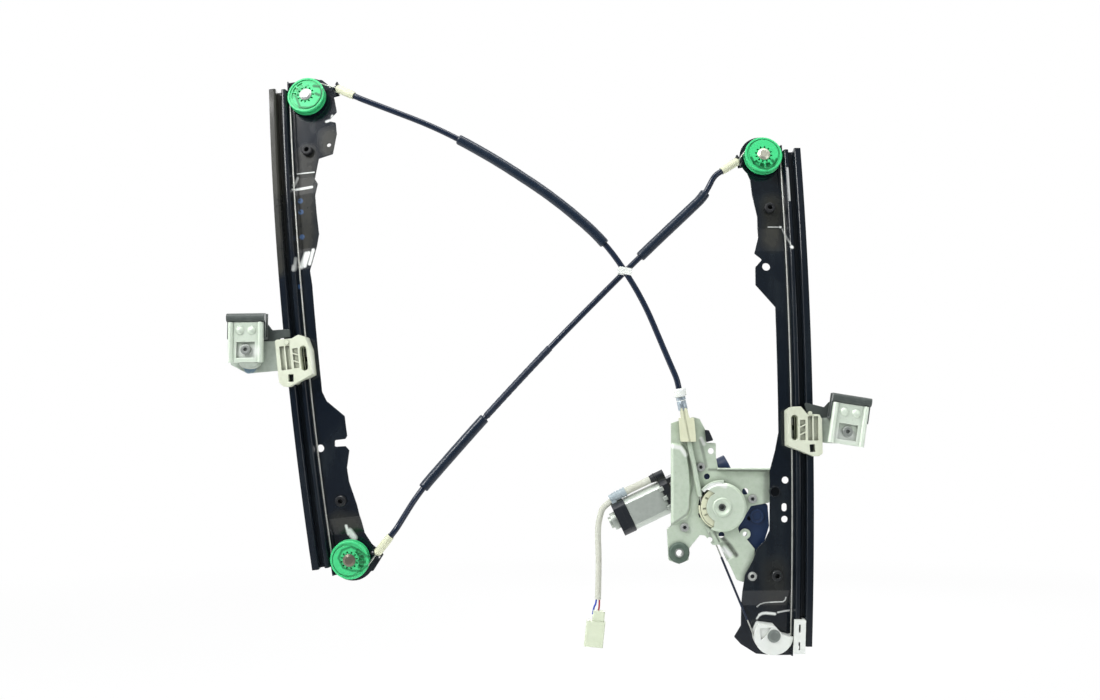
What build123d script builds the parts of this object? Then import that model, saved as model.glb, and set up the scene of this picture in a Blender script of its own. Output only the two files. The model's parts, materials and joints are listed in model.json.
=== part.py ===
from build123d import *
import math
import os

# A twin-rail cable window regulator: two curved guide rails, two glass carriers,
# a worm-gear motor with its cable drum, and one closed loop of cable.
# Millimetres. +Z is up, -Y is the outer (glass) side of the door, +X is to the right
# seen from that side. The origin is the datum hole of the right rail.

# ---------------------------------------------------------------- rails
CURVE_RADIUS = 1200.0        # both rails follow the drop of the curved glass
SHEET = 1.5                  # rail steel
BEND_RADIUS = 1.2            # on the middle of the sheet
WEB_EDGE = 8.4               # where the flat web ends and the channel starts
BEAD_FOOT_IN, BEAD_FOOT_OUT = 9.5, 15.5
BEAD_TOP_IN, BEAD_TOP_OUT = 11.0, 14.0
BEAD_HEIGHT = 6.5
OUTER_WALL = 20.5
LIP_HEIGHT = 10.0
LIP_EDGE = 26.5
RECESS = 5.5                 # how far the pulley platforms lie behind the web
HALF_RECESS = 3.0
SIDE_WALL = 1.4              # wall between a platform and the channel

RIGHT_RAIL_AT = (0.0, 0.0, 0.0)
RIGHT_LEAN, RIGHT_TURN = 0.0, 3.0
# heights of the pulleys above each rail's datum
TOP_LEFT_HEIGHT = 325.0
BOTTOM_LEFT_HEIGHT = -150.7
TOP_RIGHT_HEIGHT = 331.2
BOTTOM_RIGHT_HEIGHT = -153.9
RIGHT_LOW, RIGHT_HIGH = BOTTOM_RIGHT_HEIGHT - 10.1, TOP_RIGHT_HEIGHT + 5.8
LEFT_RAIL_AT = (-463.5, 0.0, 69.6)
LEFT_LEAN, LEFT_TURN = 6.9, -6.0
LEFT_LOW, LEFT_HIGH = BOTTOM_LEFT_HEIGHT - 5.3, TOP_LEFT_HEIGHT + 10.0

DATUM_HOLE_RADIUS = 3.4
LOCATING_HOLE_RADIUS = 3.7
NUT_RADIUS, NUT_HEIGHT = 5.5, 5.0
THREAD_RADIUS = 2.5          # M6 tapped bore
NUT_HOLE_RADIUS = 3.3

# ---------------------------------------------------------------- cable and pulleys
ROPE_RADIUS = 0.75
ROPE_GAP = 0.25              # between the rope and a moving groove or bore
ROPE_LINE = 6.5              # across the rail
ROPE_HEIGHT = 3.2            # in front of the middle of the web
ROPE_WRAP = 18.0             # radius of the rope's middle on a pulley
PULLEY_RADIUS = 19.5
PULLEY_WIDTH = 9.0
PULLEY_AT = ROPE_LINE - ROPE_WRAP
GROOVE_MOUTH = 1.9
PIN_RADIUS = 4.0
PIN_RUNNING_GAP = 0.05
PIN_HEAD_RADIUS, PIN_HEAD_HEIGHT = 6.4, 2.0
PIN_TAIL_RADIUS = 3.0
PIN_TAIL_HEAD_RADIUS, PIN_TAIL_HEAD_HEIGHT = 4.6, 1.6
BOSS_RADIUS = 9.0
FACE_GAP = 0.15              # between a pulley and what it turns against
PLATFORM_RADIUS = 23.0

# ---------------------------------------------------------------- carriers
CARRIER_HEIGHT = 50.0        # above each rail's datum, at rest
SLIDE_GAP = 0.35             # between nylon and rail
SLIDER_FRONT = 17.0
SLIDER_INNER, SLIDER_OUTER = -0.4, 34.0
CLAW_DEPTH = 4.0
TONGUE_INNER, TONGUE_OUTER = 16.9, 19.3
ARM_BACK, ARM_SHEET = 12.1, 1.8
CLAMP_SHEET = 1.6
GLASS_SLOT = 5.0
RUBBER_WALL = 2.0
RUBBER_LENGTH, RUBBER_RISE = 39.0, 9.0
RUBBER_ROLL = 4.4            # thickness of the rolled front edge
CLAMP_WIDTH, CLAMP_TALL = 36.0, 40.0
SCREW_RADIUS, SCREW_HEAD_RADIUS, SCREW_HEAD_HEIGHT = 3.0, 5.2, 3.4
NIPPLE_RADIUS, NIPPLE_LENGTH = 2.1, 8.0
NIPPLE_WINDOW, NIPPLE_WINDOW_AT = 21.0, 2.0

# ---------------------------------------------------------------- drive unit
DRUM_AT = (-63.0, -27.0)     # X and Z of the drum's axis
PLATE_FRONT, PLATE_SHEET = 4.6, 2.0
PLATE_BACK = PLATE_FRONT + PLATE_SHEET
DRUM_WRAP = 19.0
DRUM_RADIUS = 21.0
DRUM_FRONT, DRUM_FLANGE = -1.2, 1.4
GROOVES, GROOVE_PITCH = 5, 1.8
FIRST_GROOVE = DRUM_FRONT + DRUM_FLANGE + 1.2
LAST_GROOVE = FIRST_GROOVE + (GROOVES - 1) * GROOVE_PITCH
DRUM_BACK = LAST_GROOVE + 1.2 + DRUM_FLANGE
COVER_RADIUS = 24.5
COVER_FRONT = -4.2
RIM_WIDE = 2.4               # of the cover's rim above its mouth
SPINDLE_RADIUS = 3.4
WORM_DISTANCE = 31.3
MOTOR_TILT = 25.5
MOTOR_Y = 24.5
CAN_WIDE, CAN_DEEP = 34.5, 26.0
HOUSING_RADIUS = 29.5
HOUSING_BACK = 34.0


# ================================================================ helpers
CURVE_AXIS = Axis((0, CURVE_RADIUS, 0), (1, 0, 0))


def angle_at(height):
    """Angle on the rail's curve, in degrees, of a height above its datum."""
    return math.degrees(math.asin(height / CURVE_RADIUS))


def along(shape, height):
    """Move a shape built at the rail's datum along the curve to a height."""
    return shape.rotate(CURVE_AXIS, -angle_at(height))


def arc_point(height, depth):
    """A point of the rail's middle plane: depth is measured back from the web."""
    angle = math.radians(angle_at(height))
    radius = CURVE_RADIUS - depth
    return (0, CURVE_RADIUS - radius * math.cos(angle), radius * math.sin(angle))


def arc_sweep(section, low, high):
    """Sweep a section of the XY plane along the rail's curve."""
    start = section.rotate(CURVE_AXIS, -angle_at(high))
    return revolve(start, CURVE_AXIS, angle_at(high) - angle_at(low))


def front_prism(sketch, front, back):
    """A prism along Y whose outline is a sketch of X and Z."""
    return Pos(0, back, 0) * extrude(Plane.XZ * sketch, amount=back - front)


def outline(points, radius=1.5):
    """A closed outline with rounded corners."""
    return make_face(FilletPolyline(*points, radius=radius, close=True))


def bar_y(x, z, radius, front, back):
    """A round bar along Y."""
    return Pos(x, (front + back) / 2, z) * Rot(90, 0, 0) * Cylinder(radius, back - front)


def tube_along(points, radii, radius):
    """A solid round tube on straight runs joined by arcs."""
    path = FilletPolyline(*points, radius=radii) if radii else Polyline(*points)
    return sweep(Plane(path @ 0, z_dir=path % 0) * Circle(radius), path=path)


def easy_radii(points, share=0.45):
    """The largest tangent arcs that a route's runs allow, one for each corner."""
    corners = [Vector(*p) for p in points]
    radii = []
    for before, here, after in zip(corners, corners[1:], corners[2:]):
        turn = (here - before).get_angle(after - here)
        run = min((here - before).length, (after - here).length)
        radii.append(share * run / math.tan(math.radians(turn / 2)))
    return radii


class Rail:
    """Where a rail stands: built as a right-hand rail, mirrored for the left."""

    def __init__(self, at, lean, turn, mirrored):
        self.location = Pos(*at) * Rot(0, 0, turn) * Rot(0, -lean, 0)
        self.mirrored = mirrored

    def place(self, shape):
        """Put a shape built in the rail's own frame in its place in the door."""
        return self.location * (mirror(shape, Plane.YZ) if self.mirrored else shape)

    def point(self, x, height, depth=0.0):
        """The place in the door of a point of this rail."""
        _, y, z = arc_point(height, depth)
        across = -x if self.mirrored else x
        return tuple((self.location * Pos(across, y, z)).position)


LEFT = Rail(LEFT_RAIL_AT, LEFT_LEAN, LEFT_TURN, True)
RIGHT = Rail(RIGHT_RAIL_AT, RIGHT_LEAN, RIGHT_TURN, False)


# ================================================================ rails
CHANNEL_LINE = [
    (WEB_EDGE, 0), (BEAD_FOOT_IN, 0), (BEAD_TOP_IN, -BEAD_HEIGHT), (BEAD_TOP_OUT, -BEAD_HEIGHT),
    (BEAD_FOOT_OUT, 0), (OUTER_WALL, 0), (OUTER_WALL, -LIP_HEIGHT), (LIP_EDGE, -LIP_HEIGHT),
]

# outlines of the flanges: (x, height), each end set out from its own pulley
LEFT_FLANGE = [(x, TOP_LEFT_HEIGHT + rise) for x, rise in [
    (-15.0, 21.5), (-25.9, 19.6), (-32.7, 12.8), (-38.6, -3.7), (-40.5, -18.9), (-31.0, -27.5),
    (-38.8, -30.5), (-39.3, -43.1), (-34.0, -64.2), (-19.0, -67.0), (-13.5, -88.3), (-16.6, -94.0),
    (-13.5, -106.4), (-13.8, -124.2), (-14.8, -147.0), (-11.9, -158.5), (-3.4, -184.0), (-4.4, -198.7),
]] + [
    (-4.0, 18.0), (-7.6, 8.2), (-24.1, -8.8), (-24.3, -28.4), (-22.0, -31.6), (-11.1, -31.6),
    (-10.4, -38.0), (-21.5, -38.6), (-24.6, -43.0), (-20.0, -60.0), (-20.4, -74.0),
] + [(x, BOTTOM_LEFT_HEIGHT + rise) for x, rise in [
    (-25.2, 53.5), (-27.0, 37.1), (-27.6, 24.5), (-33.5, 12.2), (-44.0, 0.3), (-31.0, -15.3),
]]
LEFT_JOGGLES = [
    (BOTTOM_LEFT_HEIGHT - 39.3, RECESS), (BOTTOM_LEFT_HEIGHT + 24.7, RECESS), (BOTTOM_LEFT_HEIGHT + 41.7, 0.0),
    (TOP_LEFT_HEIGHT - 182.0, 0.0), (TOP_LEFT_HEIGHT - 160.0, HALF_RECESS),
    (TOP_LEFT_HEIGHT - 103.0, HALF_RECESS), (TOP_LEFT_HEIGHT - 85.0, RECESS), (TOP_LEFT_HEIGHT + 40.0, RECESS),
]

RIGHT_FLANGE = [(x, TOP_RIGHT_HEIGHT + rise) for x, rise in [
    (-18.0, 13.8), (-31.5, 6.3), (-33.6, -0.2), (-24.7, -23.8), (-23.6, -40.0), (-19.5, -63.2),
    (-20.0, -85.2), (-25.6, -102.7), (-17.8, -109.0), (-25.0, -116.7), (-25.6, -135.2), (-6.2, -157.7),
]] + [
    (-6.2, 48.0), (-9.8, 29.8), (-15.5, 9.0), (-15.6, -50.0), (-20.1, -59.6), (-28.1, -67.5),
    (-32.0, -79.5), (-40.0, -94.4), (-42.4, -111.0),
] + [(x, BOTTOM_RIGHT_HEIGHT + rise) for x, rise in [
    (-42.4, 7.9), (-49.1, -3.6), (-42.0, -11.1), (-26.5, -20.9), (-7.1, -22.6),
]]
RIGHT_JOGGLES = [
    (BOTTOM_RIGHT_HEIGHT - 41.1, RECESS), (BOTTOM_RIGHT_HEIGHT + 27.9, RECESS), (BOTTOM_RIGHT_HEIGHT + 43.9, 0.0),
    (TOP_RIGHT_HEIGHT - 100.2, 0.0), (TOP_RIGHT_HEIGHT - 75.2, RECESS), (TOP_RIGHT_HEIGHT + 40.8, RECESS),
]


def web_slab(joggles, offset_front, offset_back):
    """The web seen from the side, as thick as its offsets and wide enough for any outline."""
    def line(offset):
        edges = []
        for (low, deep_low), (high, deep_high) in zip(joggles, joggles[1:]):
            start, end = arc_point(low, deep_low + offset), arc_point(high, deep_high + offset)
            if deep_low == deep_high:
                middle = arc_point((low + high) / 2, deep_low + offset)
                # a chord height's mean is not quite mid-arc, but lies on the same circle
                edges.append(ThreePointArc(start, middle, end).edge())
            else:
                edges.append(Edge.make_line(start, end))
        return edges
    front, back = line(offset_front), line(offset_back)
    top = Edge.make_line(front[-1] @ 1, back[-1] @ 1)
    bottom = Edge.make_line(front[0] @ 0, back[0] @ 0)
    face = Face(Wire(front + [top] + back + [bottom]))
    return Pos(-80, 0, 0) * extrude(face, amount=120, dir=(1, 0, 0))


def side_fill(joggles):
    """What lies between the web's unbroken front and the back of its recessed platforms."""
    low, high = joggles[0][0], joggles[-1][0]
    straight = web_slab([(low, 0.0), (high, 0.0)], -SHEET / 2, RECESS + SHEET)
    behind = web_slab(joggles, SHEET / 2, 3 * RECESS)
    return straight - behind


def to_mouth(height, ferrule):
    """Distance and direction, in degrees, from a pulley's middle to its ferrule's mouth."""
    x, z = ferrule[0][0] - PULLEY_AT, ferrule[0][1] - height
    return math.hypot(x, z), math.degrees(math.atan2(z, x))


def ferrule_ear(height, ferrule):
    """The upturned ear that a conduit's ferrule butts on, slotted for the rope."""
    (x0, z0), (x1, z1) = ferrule
    slope = math.degrees(math.atan2(z1 - z0, x1 - x0))
    front = -ROPE_HEIGHT - FERRULE_RADIUS
    ear = Pos(-EAR_GAP - EAR_SHEET / 2, 0) * Rectangle(EAR_SHEET, EAR_WIDE)
    slot = Pos(-EAR_GAP - EAR_SHEET / 2, 0) * Rectangle(2 * EAR_SHEET, 2 * ROPE_RADIUS + EAR_SLOT_ROOM)
    ear = front_prism(ear, front, RECESS) - front_prism(slot, front - 1, -ROPE_HEIGHT + ROPE_RADIUS + ROPE_GAP)
    return along(Pos(x0, 0, z0 - height) * Rot(0, -slope, 0) * ear, height)


def guide_rail(flange, joggles, low, high, pulleys):
    """A stamped rail: flat web with recessed ends, a stiffening bead and the slider's lip.

    pulleys are (height, ferrule) pairs.
    """
    top, bottom = flange[0][1], flange[-1][1]
    web_end = WEB_EDGE + SIDE_WALL
    shape = outline([(web_end, bottom)] + list(reversed(flange)) + [(web_end, top)])
    for height, ferrule in pulleys:
        reach, direction = to_mouth(height, ferrule)
        arm = Rot(0, 0, direction) * Pos(reach / 2, 0) * Rectangle(reach, EAR_WIDE + 2)
        shape = shape + Pos(PULLEY_AT, height) * (Circle(PLATFORM_RADIUS) + arm)
    web = front_prism(shape, -40, 100) & web_slab(joggles, -SHEET / 2, SHEET / 2)
    section = trace(FilletPolyline(*CHANNEL_LINE, radius=BEND_RADIUS), SHEET)
    channel = arc_sweep(section, low, high)
    wall = front_prism(Pos(WEB_EDGE + SIDE_WALL / 2, (top + bottom) / 2)
                       * Rectangle(SIDE_WALL, top - bottom), -40, 100)
    wall = wall & side_fill(joggles)
    rail = web + channel + wall
    for height, ferrule in pulleys:
        rail = rail + ferrule_ear(height, ferrule)
        boss = bar_y(PULLEY_AT, 0, BOSS_RADIUS, PULLEY_BACK + FACE_GAP, RECESS)
        rail = rail + along(boss, height)
        rail = rail - along(bar_y(PULLEY_AT, 0, PIN_TAIL_RADIUS, -5, 20), height)
    return rail


PULLEY_FRONT = -ROPE_HEIGHT - PULLEY_WIDTH / 2
PULLEY_BACK = -ROPE_HEIGHT + PULLEY_WIDTH / 2


def drill(x, height, radius, front=-6.0, back=12.0):
    """A round hole square to the web."""
    return along(bar_y(x, 0, radius, front, back), height)


def drill_slot(x, height, radius, length):
    """An oblong hole along the rail."""
    slot = SlotOverall(length, 2 * radius, rotation=90)
    return along(front_prism(Pos(x, 0) * slot, -6, 12), height)


# (x, height) of the holes that place the rails in the door
LOCATING_HOLE = (4.2, -37.8)
OBLONG_HOLE = (-1.1, -27.0)
STEADY_HOLE, STEADY_HOLE_RADIUS = (-0.8, -38.8), 3.2
CLIP_HOLE, CLIP_HOLE_RADIUS = (-13.9, TOP_RIGHT_HEIGHT - 116.5), 4.0
TAB_HOLE, TAB_HOLE_RADIUS = (-30.3, TOP_LEFT_HEIGHT - 52.7), 2.2
# (x, height) of the weld nuts that hold the rails in the door
LEFT_NUTS = [(-7.6, TOP_LEFT_HEIGHT - 56.3), (-10.2, BOTTOM_LEFT_HEIGHT + 58.7)]
RIGHT_NUTS = [(-6.6, TOP_RIGHT_HEIGHT - 53.8), (-8.4, BOTTOM_RIGHT_HEIGHT + 59.2)]


def left_guide_rail():
    rail = guide_rail(LEFT_FLANGE, LEFT_JOGGLES, LEFT_LOW, LEFT_HIGH,
                      [(TOP_LEFT_HEIGHT, TOP_LEFT_FERRULE), (BOTTOM_LEFT_HEIGHT, BOTTOM_LEFT_FERRULE)])
    rail = rail - drill(*LOCATING_HOLE, LOCATING_HOLE_RADIUS)
    rail = rail - drill(*TAB_HOLE, TAB_HOLE_RADIUS)
    for x, height in LEFT_NUTS:
        rail = rail - drill(x, height, NUT_HOLE_RADIUS)
    return LEFT.place(rail)


def right_guide_rail():
    rail = guide_rail(RIGHT_FLANGE, RIGHT_JOGGLES, RIGHT_LOW, RIGHT_HIGH, [(TOP_RIGHT_HEIGHT, TOP_RIGHT_FERRULE)])
    rail = rail - drill(0, 0, DATUM_HOLE_RADIUS)
    rail = rail - drill_slot(*OBLONG_HOLE, 2.6, 8.0)
    rail = rail - drill(*STEADY_HOLE, STEADY_HOLE_RADIUS)
    rail = rail - drill(*CLIP_HOLE, CLIP_HOLE_RADIUS)
    rail = rail - drill(PULLEY_AT, BOTTOM_RIGHT_HEIGHT, PIN_TAIL_RADIUS)
    for x, height in RIGHT_NUTS:
        rail = rail - drill(x, height, NUT_HOLE_RADIUS)
    rail = RIGHT.place(rail)
    for place in RIVETS:
        x, y, z = RIGHT.point(*place)
        boss = bar_y(x, z, RIVET_BOSS, y - SHEET / 2 - RIVET_BOSS_RISE, PLATE_FRONT)
        rail = rail + boss - bar_y(x, z, RIVET_RADIUS, y - 10, PLATE_FRONT + 1)
    return rail


RIVETS = [(-32.9, -95.5), (-10.5, -11.4)]
RIVET_BOSS, RIVET_BOSS_RISE = 5.2, 0.5
RIVET_RADIUS = 2.5
RIVET_HEAD_RADIUS, RIVET_HEAD_HEIGHT = 4.4, 1.8


def weld_nut(rail_depth):
    """A round weld nut on the outer side of the web."""
    front = rail_depth - SHEET / 2 - NUT_HEIGHT
    nut = bar_y(0, 0, NUT_RADIUS, front, rail_depth - SHEET / 2)
    nut = chamfer(nut.edges().sort_by(Axis.Y)[0], 0.8)
    return nut - bar_y(0, 0, THREAD_RADIUS, front - 1, rail_depth + 1)


def rail_weld_nuts():
    nuts = []
    for rail, places, depths in ((LEFT, LEFT_NUTS, (RECESS, 0)), (RIGHT, RIGHT_NUTS, (RECESS, 0))):
        for (x, height), depth in zip(places, depths):
            nuts.append(rail.place(along(Pos(x, 0, 0) * weld_nut(depth), height)))
    return nuts


# ================================================================ pulleys
NOTCHES = 12


def pulley(turned):
    """A moulded cable pulley about the Y axis, its rope plane at the rope's height."""
    half = PULLEY_WIDTH / 2
    root = ROPE_WRAP - ROPE_RADIUS - ROPE_GAP
    profile = Polyline((PIN_RADIUS + PIN_RUNNING_GAP, -half), (PULLEY_RADIUS - 0.6, -half),
                       (PULLEY_RADIUS, -half + 0.6), (PULLEY_RADIUS, -GROOVE_MOUTH),
                       (root, -0.9), (root, 0.9), (PULLEY_RADIUS, GROOVE_MOUTH),
                       (PULLEY_RADIUS, half - 0.6), (PULLEY_RADIUS - 0.6, half),
                       (PIN_RADIUS + PIN_RUNNING_GAP, half), close=True)
    body = revolve(make_face(profile), Axis.Y)
    # on the front face: a crescent step, three pockets between ribs, and hub notches
    crescent = Circle(PULLEY_RADIUS - 2.2) - Pos(-1.7, 0) * Circle(PULLEY_RADIUS - 4.6)
    pockets = Circle(PULLEY_RADIUS - 4.2) - Circle(PIN_HEAD_RADIUS + 3.8)
    fan = make_face(Polyline((0, 0), (40, -36), (40, 36), close=True))
    pockets = pockets & fan
    for side in (-1, 1):
        pockets = pockets - Rot(0, 0, side * 14) * Pos(PULLEY_RADIUS - 7, 0) * Rectangle(9, 1.3)
    notch = Pos(PIN_HEAD_RADIUS + 1.6, 0) * Rectangle(2.0, 1.6)
    notches = [Rot(0, 0, k * 360 / NOTCHES) * notch for k in range(NOTCHES)]
    front = -half
    body = body - front_prism(crescent, front - 1, front + 0.9)
    body = body - front_prism(pockets, front - 1, front + 2.0)
    for one in notches:
        body = body - front_prism(one, front - 1, front + 1.6)
    return Pos(PULLEY_AT, -ROPE_HEIGHT, 0) * body.rotate(Axis.Y, turned)


def pulley_pin(head_gap=FACE_GAP):
    """A shouldered rivet: dome head, running shank and a peened tail behind the platform."""
    head_back = PULLEY_FRONT - head_gap
    seat = PULLEY_BACK + FACE_GAP
    tail = RECESS + SHEET / 2 + 0.02
    line = Polyline((0, head_back - PIN_HEAD_HEIGHT), (PIN_HEAD_RADIUS - 2.4, head_back - PIN_HEAD_HEIGHT),
                    (PIN_HEAD_RADIUS, head_back - 0.7), (PIN_HEAD_RADIUS, head_back),
                    (PIN_RADIUS, head_back), (PIN_RADIUS, seat), (PIN_TAIL_RADIUS, seat),
                    (PIN_TAIL_RADIUS, tail), (PIN_TAIL_HEAD_RADIUS, tail),
                    (PIN_TAIL_HEAD_RADIUS - 1.2, tail + PIN_TAIL_HEAD_HEIGHT),
                    (0, tail + PIN_TAIL_HEAD_HEIGHT), close=True)
    return Pos(PULLEY_AT, 0, 0) * revolve(make_face(line), Axis.Y)


def pulley_pins():
    return [LEFT.place(along(pulley_pin(), TOP_LEFT_HEIGHT)),
            LEFT.place(along(pulley_pin(), BOTTOM_LEFT_HEIGHT)),
            RIGHT.place(along(pulley_pin(), TOP_RIGHT_HEIGHT))]


def bottom_cable_guide():
    """The fixed nylon sector that turns the cable at the foot of the right rail."""
    root = ROPE_WRAP - ROPE_RADIUS
    half = PULLEY_WIDTH / 2
    profile = Polyline((PIN_RADIUS, -half), (PULLEY_RADIUS, -half), (PULLEY_RADIUS, -GROOVE_MOUTH),
                       (root, -0.9), (root, 0.9), (PULLEY_RADIUS, GROOVE_MOUTH),
                       (PULLEY_RADIUS, RECESS - SHEET / 2 + ROPE_HEIGHT),
                       (PIN_RADIUS, RECESS - SHEET / 2 + ROPE_HEIGHT), close=True)
    body = revolve(make_face(profile), Axis.Y)
    top = make_face(Polyline((-22, 13), (0.5, 10), (9, 1), (16, -1.2), (24, -1.2), (24, 30), (-22, 30),
                             close=True))
    body = body - front_prism(top, -half - 1, 12)
    recess = make_face(Polyline((-14, 8), (-3, 8.5), (-7, 1), (-13, -4), close=True))
    body = body - front_prism(recess, -half - 1, -half + 1.6)
    line = lower_feed()
    rope = round_bar(line @ 0, line @ 1, ROPE_RADIUS) + Pos(*(line @ 0)) * Sphere(ROPE_RADIUS)
    return RIGHT.place(along(Pos(PULLEY_AT, -ROPE_HEIGHT, 0) * body, BOTTOM_RIGHT_HEIGHT)) - rope


def cable_guide_rivet():
    return RIGHT.place(along(pulley_pin(0.0), BOTTOM_RIGHT_HEIGHT))


def rail_end_stop():
    """A nylon buffer on the channel's foot, where the carrier comes to rest."""
    base = Pos(13.0, 0) * Rectangle(9.2, 34.0)
    slots = [Pos(13.2, offset) * Rectangle(1.8, 8.0) for offset in (9.0, -9.0)]
    body = front_prism(base - slots, -LIP_HEIGHT - 2.5, -BEAD_HEIGHT - SHEET / 2)
    foot = front_prism(Pos(18.0, 0) * Rectangle(2.6, 34.0), -LIP_HEIGHT - 2.5, -SHEET / 2 - 0.05)
    return RIGHT.place(along(body + foot, BOTTOM_RIGHT_HEIGHT - 0.1))


def left_pulleys():
    top = LEFT.place(along(pulley(-35), TOP_LEFT_HEIGHT))
    bottom = LEFT.place(along(pulley(185), BOTTOM_LEFT_HEIGHT))
    return top, bottom


# ================================================================ carriers
SLIDER_SECTION = [
    (SLIDER_INNER, -SLIDER_FRONT), (SLIDER_INNER, -1.2), (7.9, -1.2), (9.4, -7.8), (15.6, -7.8),
    (TONGUE_INNER, -1.2), (TONGUE_OUTER, -1.2),
    (TONGUE_OUTER, -LIP_HEIGHT - SHEET / 2 - SLIDE_GAP), (LIP_EDGE + SLIDE_GAP, -LIP_HEIGHT - SHEET / 2 - SLIDE_GAP),
    (LIP_EDGE + SLIDE_GAP, -LIP_HEIGHT + SHEET / 2 + SLIDE_GAP),
    (OUTER_WALL + SHEET / 2 + SLIDE_GAP, -LIP_HEIGHT + SHEET / 2 + SLIDE_GAP),
    (OUTER_WALL + SHEET / 2 + SLIDE_GAP, -LIP_HEIGHT + SHEET / 2 + SLIDE_GAP + CLAW_DEPTH),
    (SLIDER_OUTER, -LIP_HEIGHT + SHEET / 2 + SLIDE_GAP + CLAW_DEPTH), (SLIDER_OUTER, -SLIDER_FRONT),
]
# front outlines of the sliders, (x, height from the slider's middle)
LEFT_SLIDER_OUTLINE = [
    (-0.4, -15.0), (-0.4, 9.5), (3.2, 23.0), (9.8, 26.0), (17.0, 23.0), (34.0, 23.6), (34.0, -19.0),
    (30.0, -23.5), (24.0, -24.5), (4.0, -16.5),
]
RIGHT_SLIDER_OUTLINE = [
    (-0.4, -16.0), (-0.4, 19.0), (4.5, 22.4), (13.0, 22.8), (19.0, 15.5), (31.5, 14.8), (34.0, 10.0),
    (34.0, -24.0), (30.0, -26.5), (25.0, -26.5),
]


PANEL_RECESS, PANEL_RIB = 3.0, 1.3
GUTTER_RECESS = 2.2
LEFT_SLIDER_PANEL, LEFT_SLIDER_WINDOW = 4.5, (21.5, -16.0)
RIGHT_SLIDER_PANEL, RIGHT_SLIDER_WINDOW = 1.0, (24.0, -18.5)


def slider(front_outline, arm, panel_height, window_at):
    """The nylon slider: it grips the rail's lip and carries the two cable nipples."""
    section = make_face(Polyline(*SLIDER_SECTION, close=True))
    body = arc_sweep(section, -32, 32) & front_prism(outline(front_outline, 1.8), -30, 10)
    rope_way = Pos(ROPE_LINE, -ROPE_HEIGHT) * Circle(ROPE_RADIUS + ROPE_GAP + 0.2)
    body = body - arc_sweep(rope_way, -33, 33)
    # the nipple window, the shallow panel beside the bead, and the lower window
    nipple_window = Pos(ROPE_LINE, NIPPLE_WINDOW_AT) * Rectangle(2 * NIPPLE_RADIUS, NIPPLE_WINDOW)
    body = body - front_prism(nipple_window, -20, 1)
    oval = Pos(ROPE_LINE, NIPPLE_WINDOW_AT) * SlotOverall(NIPPLE_WINDOW + 4.0, 7.0, rotation=90)
    body = body - front_prism(oval, -20, -ROPE_HEIGHT - NIPPLE_RADIUS - 2.0)
    panel = Pos(25.0, panel_height) * RectangleRounded(10.5, 24.0, 0.8)
    panel = panel - Pos(25.0, panel_height) * Rectangle(PANEL_RIB, 24.0)
    body = body - front_prism(panel, -20, -SLIDER_FRONT + PANEL_RECESS)
    gutter = Pos(14.6, panel_height - 1.5) * RectangleRounded(5.4, 20.0, 0.8)
    for place in (-5.0, 2.5):
        gutter = gutter - Pos(14.6, panel_height + place) * Rot(0, 0, 24) * Rectangle(9.0, PANEL_RIB)
    body = body - front_prism(gutter, -20, -SLIDER_FRONT + GUTTER_RECESS)
    window = Pos(*window_at) * Rot(0, 0, 4) * RectangleRounded(5.4, 7.6, 0.6)
    body = body - front_prism(window, -20, 10)
    body = body + bar_y(22.0, panel_height + 15.0, 2.0, -SLIDER_FRONT - 1.2, -SLIDER_FRONT + 2)
    pocket = offset(arm, 0.15)
    return body - front_prism(pocket, -ARM_BACK - ARM_SHEET, -ARM_BACK)


def arm_shape(front_outline):
    """The arm seen from the front: its visible outline and the tongue held in the slider."""
    tongue = Pos(26.0, 1.0) * RectangleRounded(18.0, 26.8, 1.5)
    return (outline(front_outline, 1.8) + tongue).face()


def carrier_arm(front_outline, screw_at):
    """The pressed steel arm between the slider and the glass clamp."""
    arm = front_prism(arm_shape(front_outline), -ARM_BACK - ARM_SHEET, -ARM_BACK)
    return arm - bar_y(*screw_at, SCREW_RADIUS + 0.2, -20, -8)


LEFT_ARM_OUTLINE = [
    (19.0, 25.0), (19.0, 33.0), (36.5, 34.0), (41.0, 41.5), (79.0, 45.5), (82.5, 5.0), (66.0, -6.0),
    (33.0, -7.0), (30.0, 25.0),
]
RIGHT_ARM_OUTLINE = [
    (20.0, 16.0), (17.0, 27.0), (37.0, 22.0), (42.0, 27.5), (79.0, 21.0), (75.0, -15.0), (38.5, -13.5),
    (30.0, -12.0), (30.0, 13.0),
]


def in_clamp(shape, at, tilt):
    """Place a shape built about the clamp's middle (X across, Z up)."""
    return Pos(at[0], 0, at[1]) * Rot(0, -tilt, 0) * shape


SCREW_DROP = 7.0             # screw below the clamp's middle
PANEL_WIDE, PANEL_TOP, PANEL_FOOT = 11.0, 2.0, -17.0
PANEL_STEP = 2.6
ARM_FRONT = ARM_BACK + ARM_SHEET
RUBBER_FRONT = ARM_FRONT + 2 * RUBBER_WALL + GLASS_SLOT
CLAMP_FRONT = RUBBER_FRONT + CLAMP_SHEET
RIB_AT, RIB_RADIUS = 15.2, 2.6


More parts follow.
